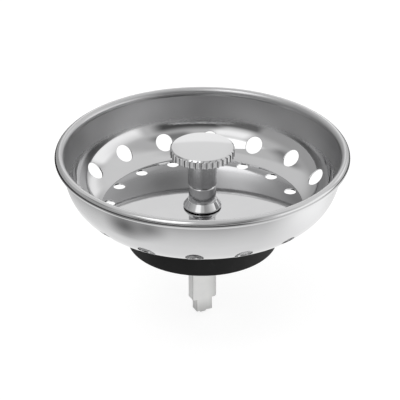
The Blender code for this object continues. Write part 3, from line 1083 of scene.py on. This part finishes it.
def flute_shade_share(tree, depth, wiped):
    """Where painted shade lies: a thin line round each flute, a little fainter in places, led by the noise of
    the wipes.
    """
    inside = rise(tree, depth, FLUTE_SHADE_START, FLUTE_SHADE_FULL)
    outside = rise(tree, depth, FLUTE_SHADE_END, FLUTE_SHADE_FADE)
    return product(tree, inside, outside, rise(tree, wiped, *FLUTE_SHADE_BREAKUP))


print("paste stays from", round(1000 * FLUTE_SHADE_FULL, 2), "to", round(1000 * FLUTE_SHADE_FADE, 2), "mm deep")

# %% [markdown]
# ### The finish of chrome
#
# One material serves the knob and the collar, because they come out of the same bath. Each mark adds its
# part to the roughness, and the places found above choose between the colours.

# %% Mix the chrome
CHROME_COLOUR = (0.64, 0.64, 0.645)
# The hub's colour is darkened as painted shade.
HUB_SHADE_COLOUR = (0.46, 0.46, 0.465)
# A paler colour for the fluted edge, a painted highlight.
FLUTE_HIGHLIGHT_COLOUR = (0.88, 0.88, 0.885)
# The colour of the painted shade in the flutes.
FLUTE_SHADE_COLOUR = (0.05, 0.05, 0.05)
CHROME_ROUGHNESS = 0.045
HUB_ROUGHNESS = 0.24
WIPES_PER_METRE = 350.0
WIPE_ROUGHENING = 0.04
PITS_PER_METRE = 900.0
PIT_EDGE = 0.07
PIT_CORE = 0.03
PIT_ROUGHENING = 0.2
PEEL_PER_METRE = 1400.0
PEEL_RELIEF = 0.0000012
FLUTE_SHADE_ROUGHENING = 0.3
MILLED_BAND = 0.001


def chrome_material():
    """Bright plating with a faint orange peel and pits, painted shade on the hub and in the flutes, and a
    painted highlight on the fluted edge.
    """
    material, tree, shader, place = new_finish("chrome_finish")
    shader.inputs["Metallic"].default_value = 1.0
    wiped = noise(tree, place, WIPES_PER_METRE, 4.0)
    peel = noise(tree, place, PEEL_PER_METRE, 1.0)
    cells = add_node(tree, "ShaderNodeTexVoronoi", {"Vector": place, "Scale": PITS_PER_METRE})
    pits = rise(tree, cells.outputs["Distance"], PIT_EDGE, PIT_CORE)

    parts = split(tree, place)
    radius = measure(tree, "LENGTH", join(tree, parts["X"], parts["Y"]))
    depth = compute(tree, "SUBTRACT", knob_radius, radius)
    on_hub = hub_share(tree, parts["Z"])
    on_edge = edge_share(tree, parts["Z"])
    # The whole fluted edge is made paler, a painted highlight.
    milled = product(tree, rise(tree, depth, MILLED_BAND, MILLED_BAND - MASK_FADE), on_edge)
    # A thin line of painted shade round each flute.
    flute_shade = product(tree, flute_shade_share(tree, depth, wiped), on_edge)

    roughness = waver(tree, mix(tree, on_hub, CHROME_ROUGHNESS, HUB_ROUGHNESS), wiped, WIPE_ROUGHENING)
    roughness = compute(tree, "MULTIPLY_ADD", pits, PIT_ROUGHENING, roughness)
    roughness = compute(tree, "MULTIPLY_ADD", flute_shade, FLUTE_SHADE_ROUGHENING, roughness)
    tree.links.new(roughness, shader.inputs["Roughness"])
    # The hub's darker colour is painted shade.
    plating = mix_colours(tree, milled, mix_colours(tree, on_hub, CHROME_COLOUR, HUB_SHADE_COLOUR), FLUTE_HIGHLIGHT_COLOUR)
    tree.links.new(mix_colours(tree, flute_shade, plating, FLUTE_SHADE_COLOUR), shader.inputs["Base Color"])
    give_relief(tree, shader, product(tree, compute(tree, "SUBTRACT", peel, pits), PEEL_RELIEF))
    return material


chrome = chrome_material()
print("the chrome has a roughness of", CHROME_ROUGHNESS, "and", HUB_ROUGHNESS, "on the hub")

# %% [markdown]
# ## The knob
#
# The knob is a slightly domed disc on a round hub. A ball-nosed cutter has milled 33 round flutes into its
# edge, so that wet fingers can turn it. Narrow ridges are left between the flutes, and each flute ends in
# an arch just below the top. Boolean cuts would do it, but leave ragged shading. So the outline is spun as
# for a turned piece, and then a formula for the cutter's path pulls the edge inwards and tilts its facings
# to match.

# %% Shape the flutes
FLUTE_COUNT = 33
FLUTE_DEPTH = 0.00055
FLUTE_WIDTH_SHARE = 0.88
FLUTE_ARCH_STRETCH = 1.5
FLUTE_COLUMNS = (-1.0, -0.94, -0.88, -0.78, -0.62, -0.42, -0.2, 0.0, 0.2, 0.42, 0.62, 0.78, 0.88, 0.94)
PROBE = 0.00001

pitch = 2 * pi / FLUTE_COUNT
flute_half_width = pitch / 2 * knob_radius * FLUTE_WIDTH_SHARE
flute_curve = (flute_half_width ** 2 + FLUTE_DEPTH ** 2) / (2 * FLUTE_DEPTH)
flute_top = disc_top - FLUTE_TOP_MARGIN - flute_half_width / FLUTE_ARCH_STRETCH
print("each flute is", round(2000 * flute_half_width, 2), "mm wide")


def flute_cut(turn, height):
    """How deep the cutter goes at a place on the knob's edge."""
    across = ((turn / pitch + 0.5) % 1 - 0.5) * pitch * knob_radius
    beyond = max(0.0, height - flute_top) * FLUTE_ARCH_STRETCH
    reach = hypot(across, beyond)
    if reach >= flute_half_width:
        return 0.0
    return sqrt(flute_curve ** 2 - reach ** 2) - (flute_curve - FLUTE_DEPTH)


def fluted_row(point, facing, turns):
    """A row of the knob's edge with the flutes cut into it."""
    row = []
    radius, height = point
    for turn in turns:
        cut = flute_cut(turn, height)
        sideways = (flute_cut(turn + PROBE, height) - flute_cut(turn - PROBE, height)) / (2 * PROBE)
        upwards = (flute_cut(turn, height + PROBE) - flute_cut(turn, height - PROBE)) / (2 * PROBE)
        outward = Vector((cos(turn), sin(turn), 0))
        along = Vector((-sin(turn), cos(turn), 0))
        tilt = along * (facing[0] * sideways / radius) + Vector((0, 0, facing[0] * upwards))
        row.append((
            outward * (radius - cut) + Vector((0, 0, height)),
            (outward * facing[0] + Vector((0, 0, facing[1])) + tilt).normalized(),
        ))
    return row

# %% [markdown]
# ### The knob's outline
#
# The knob's outline starts on the axis at the top of its threaded bore, comes down the bore, out under the
# hub, up the hub, out under the disc, up its edge and over the dome. Extra rows on the edge give the arches
# their shape.

# %% Draw the knob's outline
HUB_RADIUS = 0.0041
KNOB_BORE_DEPTH = 0.0095
KNOB_TOP_BEVEL = 0.00045
KNOB_TOP_BEVEL_DROP = 0.00035
KNOB_DOME_RISE = 0.0004
DISC_EDGE = 0.00018
DOME_EDGE = 0.00012
DOME_AIM_SHARE = 0.8
DOME_START_SHARE = 0.94
EDGE_ROWS = 14
DOME_ROWS = 5
LONG_STRETCH = 0.0005


def knob_outline():
    """The knob's outline from the top of its bore, round the outside, to the top of its dome."""
    bore_top = knob_base + KNOB_BORE_DEPTH
    top_radius = knob_radius - KNOB_TOP_BEVEL
    under = rounded_outline([
        (0, bore_top, 0),
        (POST_HOLE_RADIUS, bore_top, FINE_EDGE),
        (POST_HOLE_RADIUS, knob_base, SOFT_EDGE),
        (HUB_RADIUS, knob_base, SOFT_EDGE),
        (HUB_RADIUS, disc_base, SOFT_EDGE),
        (knob_radius, disc_base, DISC_EDGE),
        (knob_radius, disc_top - KNOB_TOP_BEVEL_DROP, FINE_EDGE),
        (top_radius, disc_top, DOME_EDGE),
        (top_radius * DOME_AIM_SHARE, disc_top + KNOB_DOME_RISE * (1 - DOME_AIM_SHARE ** 2), 0),
    ], closed=False)[:-1]
    dome = []
    for step in range(DOME_ROWS, -1, -1):
        share = step / DOME_ROWS * DOME_START_SHARE
        slope = 2 * KNOB_DOME_RISE * share / top_radius
        height = disc_top + KNOB_DOME_RISE * (1 - share ** 2)
        dome.append((Vector((top_radius * share, height)), Vector((slope, 1)).normalized()))
    return under + dome


def with_edge_rows(outline):
    """Add rows where the outline runs straight up the disc's edge."""
    fuller = []
    for (point, facing), (after, _) in zip(outline, outline[1:]):
        fuller.append((point, facing))
        on_edge = min(point.x, after.x) > knob_radius - PROBE / 10
        if on_edge and after.y - point.y > LONG_STRETCH:
            for step in range(1, EDGE_ROWS):
                fuller.append((point.lerp(after, step / EDGE_ROWS), facing))
    fuller.append(outline[-1])
    return fuller


print("the knob's outline has", len(with_edge_rows(knob_outline())), "points")

# %% [markdown]
# The outline is spun with columns that crowd together at the ridges, where the surface bends most, and only
# the rows of the disc's edge get the flutes.

# %% Build the knob
def build_knob():
    """The knob with its flutes."""
    shell = Shell()
    turns = [(tooth + share / 2) * pitch for tooth in range(FLUTE_COUNT) for share in FLUTE_COLUMNS]
    rows = []
    for point, facing in with_edge_rows(knob_outline()):
        on_edge = point.x > knob_radius - SOFT_EDGE and point.y > disc_base - PROBE
        rows.append(fluted_row(point, facing, turns) if on_edge else spun_row(point, facing, turns))
    shell.add_rows(rows)
    return shell.build("milled_knob", chrome, "post", "knob")


build_knob()

# %% [markdown]
# ## The collar
#
# The collar is a chromed tube between the hub and the floor. Its foot flares out like a skirt and ends in a
# short upright edge, which holds the floor down against the rubber. A narrow groove parts the foot from the
# tube, and the tube's top is chamfered. A lathe makes all of it in one go, and so does a spun outline.

# %% Build the collar
COLLAR_RADIUS = 0.00385
COLLAR_HEIGHT = 0.00682
FOOT_RADIUS = 0.00535
FOOT_EDGE = 0.0003
FOOT_HEIGHT = 0.0021
FOOT_STEP = 0.00018
GROOVE_DEPTH = 0.00012
GROOVE_HEIGHT = 0.0002
GROOVE_EDGE = 0.00005
COLLAR_CHAMFER = 0.00035
TURNED_COLUMNS = 144

collar_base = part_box("post_collar")[0].z


def build_collar():
    """The collar with its flared foot."""
    shell = Shell()
    top = collar_base + COLLAR_HEIGHT
    foot_top = collar_base + FOOT_HEIGHT
    groove_radius = COLLAR_RADIUS - GROOVE_DEPTH
    outline = rounded_outline([
        (POST_HOLE_RADIUS, collar_base, FINE_EDGE),
        (FOOT_RADIUS, collar_base, FINE_EDGE),
        (FOOT_RADIUS, collar_base + FOOT_EDGE, SOFT_EDGE),
        (COLLAR_RADIUS + FOOT_STEP, foot_top, SOFT_EDGE),
        (groove_radius, foot_top, GROOVE_EDGE),
        (groove_radius, foot_top + GROOVE_HEIGHT - GROOVE_EDGE, GROOVE_EDGE),
        (COLLAR_RADIUS, foot_top + GROOVE_HEIGHT, GROOVE_EDGE),
        (COLLAR_RADIUS, top - COLLAR_CHAMFER, FINE_EDGE),
        (COLLAR_RADIUS - COLLAR_CHAMFER, top, FINE_EDGE),
        (POST_HOLE_RADIUS, top, FINE_EDGE),
    ])
    add_turned(shell, outline, TURNED_COLUMNS)
    return shell.build("chromed_collar", chrome, "post", "post_collar")


build_collar()

# %% [markdown]
# ## The rubber stopper
#
# The stopper is moulded from black rubber. Its skin is matte, with a fine grain and a little pale dust that
# has settled in patches. The dust could be a layer of its own, but mixing a paler colour in is enough: a
# cloudy noise says where it lies, and a fine one breaks it up.

# %% Mix the rubber
RUBBER_COLOUR = (0.008, 0.008, 0.0082)
DUST_COLOUR = (0.03, 0.03, 0.03)
RUBBER_SHINE = 0.25
RUBBER_ROUGHNESS = 0.6
GRAINS_PER_METRE = 3200.0
GRAIN_RELIEF = 0.00001
CLOUDS_PER_METRE = 220.0
CLOUD_ROUGHENING = 0.2
DUSTY_CLOUD = (0.52, 0.78)
DUSTY_GRAIN = (0.45, 0.75)


def rubber_material():
    """Matte black rubber with a fine grain and some dust."""
    material, tree, shader, place = new_finish("rubber_finish")
    grain = noise(tree, place, GRAINS_PER_METRE, 3.0)
    cloud = noise(tree, place, CLOUDS_PER_METRE, 5.0)
    shader.inputs["Specular IOR Level"].default_value = RUBBER_SHINE
    dust = product(tree, rise(tree, cloud, *DUSTY_CLOUD), rise(tree, grain, *DUSTY_GRAIN))
    tree.links.new(mix_colours(tree, dust, RUBBER_COLOUR, DUST_COLOUR), shader.inputs["Base Color"])
    tree.links.new(waver(tree, RUBBER_ROUGHNESS, cloud, CLOUD_ROUGHENING), shader.inputs["Roughness"])
    give_relief(tree, shader, product(tree, grain, GRAIN_RELIEF))
    return material


rubber = rubber_material()
print("the rubber's colour is", RUBBER_COLOUR[1], "and that of its dust", DUST_COLOUR[1])

# %% [markdown]
# ### The stopper's shape
#
# The stopper is a thick disc. The mould rounds its edges, and the underside has a shallow recess that the
# washer sits in. A cylinder with a Bevel modifier would come close, but the recess makes a spun outline the
# shorter way.

# %% Build the stopper
RUBBER_DIAMETER = 0.0426
RUBBER_EDGE_RADIUS = 0.0006
WASHER_DIAMETER = 0.018
RECESS_DEPTH = 0.0006
RUBBER_COLUMNS = 192

rubber_base, rubber_top = (corner.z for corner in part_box("rubber_stopper"))


def build_stopper():
    """The thick disc with rounded edges and a recess for the washer."""
    shell = Shell()
    recess = WASHER_DIAMETER / 2 + SEAM_GAP
    outline = rounded_outline([
        (POST_HOLE_RADIUS, rubber_base + RECESS_DEPTH, FINE_EDGE),
        (recess, rubber_base + RECESS_DEPTH, FINE_EDGE),
        (recess, rubber_base, SOFT_EDGE),
        (RUBBER_DIAMETER / 2, rubber_base, RUBBER_EDGE_RADIUS),
        (RUBBER_DIAMETER / 2, rubber_top, RUBBER_EDGE_RADIUS),
        (POST_HOLE_RADIUS, rubber_top, FINE_EDGE),
    ])
    add_turned(shell, outline, RUBBER_COLUMNS)
    return shell.build("rubber_disc", rubber, "post", "rubber_stopper")


build_stopper()

# %% [markdown]
# ## Washer, nut and stud
#
# Under the rubber a flat washer and a thin hexagon nut clamp everything to the threaded stud. They are
# plain zinc-plated steel: greyer and duller than the chrome, with the faint patchwork of zinc crystals.
# Voronoi cells give that patchwork, each cell a little duller or brighter than the next.

# %% Mix the plain steel
ZINC_COLOUR = (0.5, 0.5, 0.51, 1)
ZINC_ROUGHNESS = 0.37
CRYSTALS_PER_METRE = 1500.0
CRYSTAL_ROUGHENING = 0.12
WEAR_PER_METRE = 500.0
WEAR_ROUGHENING = 0.1
WEAR_RELIEF = 0.000008


def plain_steel_material():
    """Zinc-plated steel with a faint patchwork of crystals."""
    material, tree, shader, place = new_finish("plain_steel_finish")
    shader.inputs["Base Color"].default_value = ZINC_COLOUR
    shader.inputs["Metallic"].default_value = 1.0
    crystals = add_node(tree, "ShaderNodeTexVoronoi", {"Vector": place, "Scale": CRYSTALS_PER_METRE})
    shade = split(tree, crystals.outputs["Color"])[0]
    wear = noise(tree, place, WEAR_PER_METRE, 4.0)
    roughness = waver(tree, ZINC_ROUGHNESS, shade, CRYSTAL_ROUGHENING)
    tree.links.new(waver(tree, roughness, wear, WEAR_ROUGHENING), shader.inputs["Roughness"])
    give_relief(tree, shader, product(tree, wear, WEAR_RELIEF))
    return material


plain_steel = plain_steel_material()
print("the zinc's crystals are about", round(1000 / CRYSTALS_PER_METRE, 2), "mm across")

# %% [markdown]
# ### The washer
#
# The washer spreads the nut's pull over the soft rubber. A press stamps it out of sheet, which rounds the
# edges of one side more than those of the other, so its outline has two different roundings.

# %% Build the washer
WASHER_THICKNESS = 0.001
PRESSED_EDGE = 0.00025
TORN_EDGE = 0.00015

washer_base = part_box("stopper_washer")[0].z


def build_washer():
    """The flat washer with its edges broken."""
    shell = Shell()
    top = washer_base + WASHER_THICKNESS
    outline = rounded_outline([
        (POST_HOLE_RADIUS, washer_base, FINE_EDGE),
        (WASHER_DIAMETER / 2, washer_base, TORN_EDGE),
        (WASHER_DIAMETER / 2, top, PRESSED_EDGE),
        (POST_HOLE_RADIUS, top, FINE_EDGE),
    ])
    add_turned(shell, outline, TURNED_COLUMNS)
    return shell.build("flat_washer", plain_steel, "post", "stopper_washer")


build_washer()

# %% [markdown]
# ### Pieces with flat sides
#
# The nut, the stud and the stem have flat sides and real edges, so they need no facings of their own. Their
# rings of points are welded, edges sharper than an angle stay sharp, and a Weighted Normal modifier keeps
# the broad flats flat. That is quicker than working out each facing, and it is good enough where nothing
# mirrors sharply.

# %% Helper for pieces with flat sides
def flat_piece(name, rings, sharp_angle, material, node):
    """A piece with flat sides: rings of points, welded, with its flat faces kept flat."""
    builder = bmesh.new()
    levels = [[builder.verts.new(point) for point in ring] for ring in rings]
    width = len(rings[0])
    for lower, upper in zip(levels, levels[1:]):
        for column in range(width):
            after = (column + 1) % width
            builder.faces.new((lower[column], lower[after], upper[after], upper[column]))
    bmesh.ops.remove_doubles(builder, verts=builder.verts, dist=WELD_DISTANCE)
    bmesh.ops.dissolve_degenerate(builder, edges=builder.edges, dist=WELD_DISTANCE)
    mesh = bpy.data.meshes.new(name)
    close_up(mesh, builder)
    mesh.set_sharp_from_angle(angle=sharp_angle)
    piece = set_in_place(name, mesh, material, "post", node)
    weights = piece.modifiers.new("flat_faces", "WEIGHTED_NORMAL")
    weights.keep_sharp = True
    return piece


print("so far the scene has", len(bpy.data.meshes), "meshes, and three with flat sides are to come")

# %% [markdown]
# ### The nut
#
# A hexagon nut is a six-sided bar that a lathe has chamfered at both ends, so the flats end in shallow
# curves. A Boolean of a bar and two cones would show them. Taking the smaller of the two radii at each
# point, the bar's or the cone's, gives exactly those curves without a cut.

# %% Build the nut
NUT_FLAT_RADIUS = 0.004
NUT_HEIGHT = 0.0027
NUT_CHAMFER_SLOPE = tan(radians(30))
NUT_ROWS = 16
NUT_COLUMNS = 96

nut_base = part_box("lock_nut")[0].z


def nut_radius(turn, height):
    """How far the nut reaches at an angle and a height."""
    from_flat = (turn + pi / 6) % (pi / 3) - pi / 6
    bar = NUT_FLAT_RADIUS / cos(from_flat + pi / 6 if from_flat < 0 else from_flat - pi / 6)
    from_end = min(height, NUT_HEIGHT - height)
    cone = NUT_FLAT_RADIUS + from_end / NUT_CHAMFER_SLOPE
    return min(bar, cone)


def nut_ring(height, radii, turns):
    """One ring of the nut's points at a height above its base."""
    return [
        Vector((radius * cos(turn), radius * sin(turn), nut_base + height))
        for radius, turn in zip(radii, turns)
    ]


def build_nut():
    """Rings of the hexagon nut: up its outside, then down its bore."""
    turns = even_turns(NUT_COLUMNS)
    bore = [POST_HOLE_RADIUS] * NUT_COLUMNS
    rings = [nut_ring(0, bore, turns)]
    for step in range(NUT_ROWS + 1):
        height = NUT_HEIGHT * step / NUT_ROWS
        rings.append(nut_ring(height, [nut_radius(turn, height) for turn in turns], turns))
    rings.append(nut_ring(NUT_HEIGHT, bore, turns))
    rings.append(rings[0])
    return rings


flat_piece("hex_nut", build_nut(), radians(25), plain_steel, "lock_nut")

# %% [markdown]
# ### The stud
#
# The stud's thread shows only in the narrow gaps between the pieces, but a plain rod there would look
# wrong. A Screw modifier could wind a thread profile up the rod. Here the thread is a wave that climbs one
# pitch in each turn, and it fades out at both ends, as a cut thread does. So the rod stays one closed mesh.

# %% Build the stud
STUD_RADIUS = 0.0025
STUD_CHAMFER = 0.0005
THREAD_PITCH = 0.0008
THREAD_DEPTH = 0.0004
THREAD_ROWS_PER_PITCH = 8
THREAD_COLUMNS = 48

stud_base, stud_top = (corner.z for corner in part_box("post_stud"))


def build_stud():
    """The threaded rod."""
    length = stud_top - stud_base
    count = int(length / THREAD_PITCH * THREAD_ROWS_PER_PITCH)
    turns = even_turns(THREAD_COLUMNS)
    rings = [[Vector((0, 0, stud_base))] * THREAD_COLUMNS]
    for step in range(count + 1):
        height = length * step / count
        from_end = min(height, length - height)
        crest = STUD_RADIUS - max(0.0, STUD_CHAMFER - from_end)
        fade = min(1.0, from_end / THREAD_PITCH)
        ring = []
        for turn in turns:
            phase = (height / THREAD_PITCH - turn / (2 * pi)) % 1
            valley = 1 - abs(2 * phase - 1)
            radius = crest - THREAD_DEPTH * fade * (1 - valley)
            ring.append(Vector((radius * cos(turn), radius * sin(turn), stud_base + height)))
        rings.append(ring)
    rings.append([Vector((0, 0, stud_top))] * THREAD_COLUMNS)
    return rings


flat_piece("threaded_stud", build_stud(), radians(50), plain_steel, "post_stud")

# %% [markdown]
# ## The nylon stem
#
# The stem is moulded from pale nylon. Moulded plastic is a little waxy, so the finish is satin with soft
# mottling and a fine grain. The colour is made darker towards the tip, and painted shade darkens the
# right-hand edge of the blade and the corners, where the halves of the mould met. The darkening could be
# drawn in an image, but that needs an image file. So the height, the place across the blade and the facing
# say where it lies.

# %% Mix the nylon
NYLON_COLOUR = (0.87, 0.87, 0.86)
NYLON_ROUGHNESS = 0.395
NYLON_ROUGHENING = 0.15
MOTTLES_PER_METRE = 420.0
MOTTLE_TONE = 0.12
MOTTLE_RELIEF = 0.00002
SKIN_PER_METRE = 4200.0
SKIN_RELIEF = 0.000003
STEM_TURN = radians(25)
BOSS_LENGTH = 0.00536
# The stem is darker towards its tip, and painted shade darkens its right-hand edge and its corners.
DARKENING_TOP = 0.0055
TIP_TONE = 0.62
RIGHT_SHADE_START = 0.001
RIGHT_SHADE_END = 0.0038
RIGHT_SHADE_TONE = 0.78
CORNER_SHADE_TONE = 0.68
CORNER_FADE = 0.0003
CORNER_SLANT = (0.15, 0.5)
SIDE_SLANT = (0.98, 0.85)

stem_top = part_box("stem")[1].z
boss_base = stem_top - BOSS_LENGTH


def stem_darkening(tree, place):
    """How much darker the stem is made: towards the tip, and with painted shade on the right-hand edge and
    the corners.
    """
    height = split(tree, place)["Z"]
    across = (cos(STEM_TURN), sin(STEM_TURN), 0)
    # Darker towards the tip.
    tip_darkening = rise(tree, height, 0.0, DARKENING_TOP, TIP_TONE, 1.0)
    # Painted shade towards the right-hand edge of the blade.
    right_shade = rise(tree, measure(tree, "DOT_PRODUCT", place, across), RIGHT_SHADE_START, RIGHT_SHADE_END, 1.0, RIGHT_SHADE_TONE)
    facing = add_node(tree, "ShaderNodeTexCoord").outputs["Normal"]
    slant = compute(tree, "ABSOLUTE", measure(tree, "DOT_PRODUCT", facing, across))
    under_boss = rise(tree, height, boss_base, boss_base - CORNER_FADE)
    corner = product(tree, rise(tree, slant, *CORNER_SLANT), rise(tree, slant, *SIDE_SLANT), under_boss)
    # Painted shade along the rounded corners.
    corner_shade = compute(tree, "MULTIPLY_ADD", corner, CORNER_SHADE_TONE - 1, 1.0)
    return product(tree, tip_darkening, right_shade, corner_shade)


def nylon_material():
    """Pale moulded nylon with soft mottling, a fine skin, a darker tip and painted shade."""
    material, tree, shader, place = new_finish("nylon_finish")
    mottling = noise(tree, place, MOTTLES_PER_METRE, 4.0)
    skin = noise(tree, place, SKIN_PER_METRE, 2.0)
    tone = product(tree, waver(tree, 1.0, mottling, MOTTLE_TONE), stem_darkening(tree, place))
    tree.links.new(dim(tree, NYLON_COLOUR, tone), shader.inputs["Base Color"])
    tree.links.new(waver(tree, NYLON_ROUGHNESS, mottling, NYLON_ROUGHENING), shader.inputs["Roughness"])
    fine = product(tree, skin, SKIN_RELIEF)
    give_relief(tree, shader, compute(tree, "MULTIPLY_ADD", mottling, MOTTLE_RELIEF, fine))
    return material


nylon = nylon_material()
print("the stain reaches", round(1000 * DARKENING_TOP, 1), "mm up the stem's blade")

# %% [markdown]
# ### The stem's shape
#
# The stem is a flat blade with a step on each side, a boss on top that takes the stud, and a short pip
# where the plastic ran into the mould. Boxes joined by Booleans would give the blade, but its corners are
# rounded, and it runs into a round boss. Rings of points do both: they change from a rounded rectangle to
# the circle of the boss.

# %% Helpers for the stem's rings
BLADE_EDGE = 0.00025


def blade_ring(half_width, half_thickness, height):
    """A rounded rectangle at a height, turned with the stem."""
    corners = [
        (-half_width, -half_thickness, BLADE_EDGE),
        (half_width, -half_thickness, BLADE_EDGE),
        (half_width, half_thickness, BLADE_EDGE),
        (-half_width, half_thickness, BLADE_EDGE),
    ]
    turn = Matrix.Rotation(STEM_TURN, 3, "Z")
    return [turn @ Vector((*point, height)) for point, facing in rounded_outline(corners)]


def round_ring(like, radius, height):
    """A circle whose points lie in the same directions as those of another ring."""
    return [Vector((point.x, point.y, 0)).normalized() * radius + Vector((0, 0, height)) for point in like]


print("each ring of the stem has", len(blade_ring(0.002, 0.001, 0)), "points")

# %% [markdown]
# The rings go from the end of the pip upwards, over the boss and down into its bore. Each rounding is given
# by a few points, with how far in and how far up each one lies. Two rings at exactly the same height would
# leave faces without any area on the blade's broad sides. So the flat undersides of the steps and of the
# boss rise by a hair, LEVEL_GAP, on their way out.

# %% Build the stem
BLADE_THICKNESS = 0.003
BLADE_WIDTH = 0.00747
TIP_WIDTH = 0.0049
PIP_RADIUS = 0.001
PIP_LENGTH = 0.0009
STEP_HEIGHT = 0.00483
BOSS_RADIUS = 0.005
STEM_BORE_DEPTH = 0.0038
LEVEL_GAP = 0.00002
PIP_ROUNDING = ((0.0002, 0.0), (0.00006, 0.00006), (0.0, 0.0002))
TIP_ROUNDING = ((0.00025, 0.0), (0.000075, 0.000075), (0.0, 0.00025))
STEP_ROUNDING = ((0.0005, LEVEL_GAP), (0.00025, 0.00007), (0.00007, 0.00025), (0.0, 0.0005))
BOSS_FILLET = ((0.0, 0.0003), (0.0001, 0.0001), (0.0003, 0.0))


def boss_outline():
    """Radius and height of the boss, from its underside over the top and down its bore."""
    return [
        (BOSS_RADIUS - SOFT_EDGE, boss_base + LEVEL_GAP),
        (BOSS_RADIUS, boss_base + SOFT_EDGE),
        (BOSS_RADIUS, stem_top - SOFT_EDGE),
        (BOSS_RADIUS - SOFT_EDGE, stem_top),
        (POST_HOLE_RADIUS + SOFT_EDGE, stem_top),
        (POST_HOLE_RADIUS, stem_top - SOFT_EDGE),
        (POST_HOLE_RADIUS, stem_top - STEM_BORE_DEPTH),
        (0, stem_top - STEM_BORE_DEPTH),
    ]


def build_stem():
    """Rings of the stem from the pip's end up to the boss and down into its bore."""
    half = BLADE_THICKNESS / 2
    tip = TIP_WIDTH / 2
    side = BLADE_WIDTH / 2
    like = blade_ring(tip - BLADE_EDGE, half - BLADE_EDGE, PIP_LENGTH)
    rings = [round_ring(like, 0, 0)]
    rings += [round_ring(like, PIP_RADIUS - inset, up) for inset, up in PIP_ROUNDING]
    rings.append(round_ring(like, PIP_RADIUS, PIP_LENGTH))
    rings += [blade_ring(tip - inset, half - inset, PIP_LENGTH + up) for inset, up in TIP_ROUNDING]
    rings.append(blade_ring(tip, half, STEP_HEIGHT))
    rings += [blade_ring(side - inset, half, STEP_HEIGHT + up) for inset, up in STEP_ROUNDING]
    rings += [blade_ring(side + out, half + out, boss_base - down) for out, down in BOSS_FILLET]
    rings += [round_ring(like, radius, height) for radius, height in boss_outline()]
    return rings


flat_piece("nylon_stem", build_stem(), radians(28), nylon, "stem")

# %% [markdown]
# ## Measure and finish
#
# The dressed plug has to stay the size of its solids, so the sizes of both boxes are printed.

visual_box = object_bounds()
sizes = {
    "cad": [list(corner) for corner in cad_box],
    "visual": [list(corner) for corner in visual_box],
}
for label, corners in sizes.items():
    print(label, [round(1000 * (high - low), 2) for low, high in zip(*corners)], "mm")
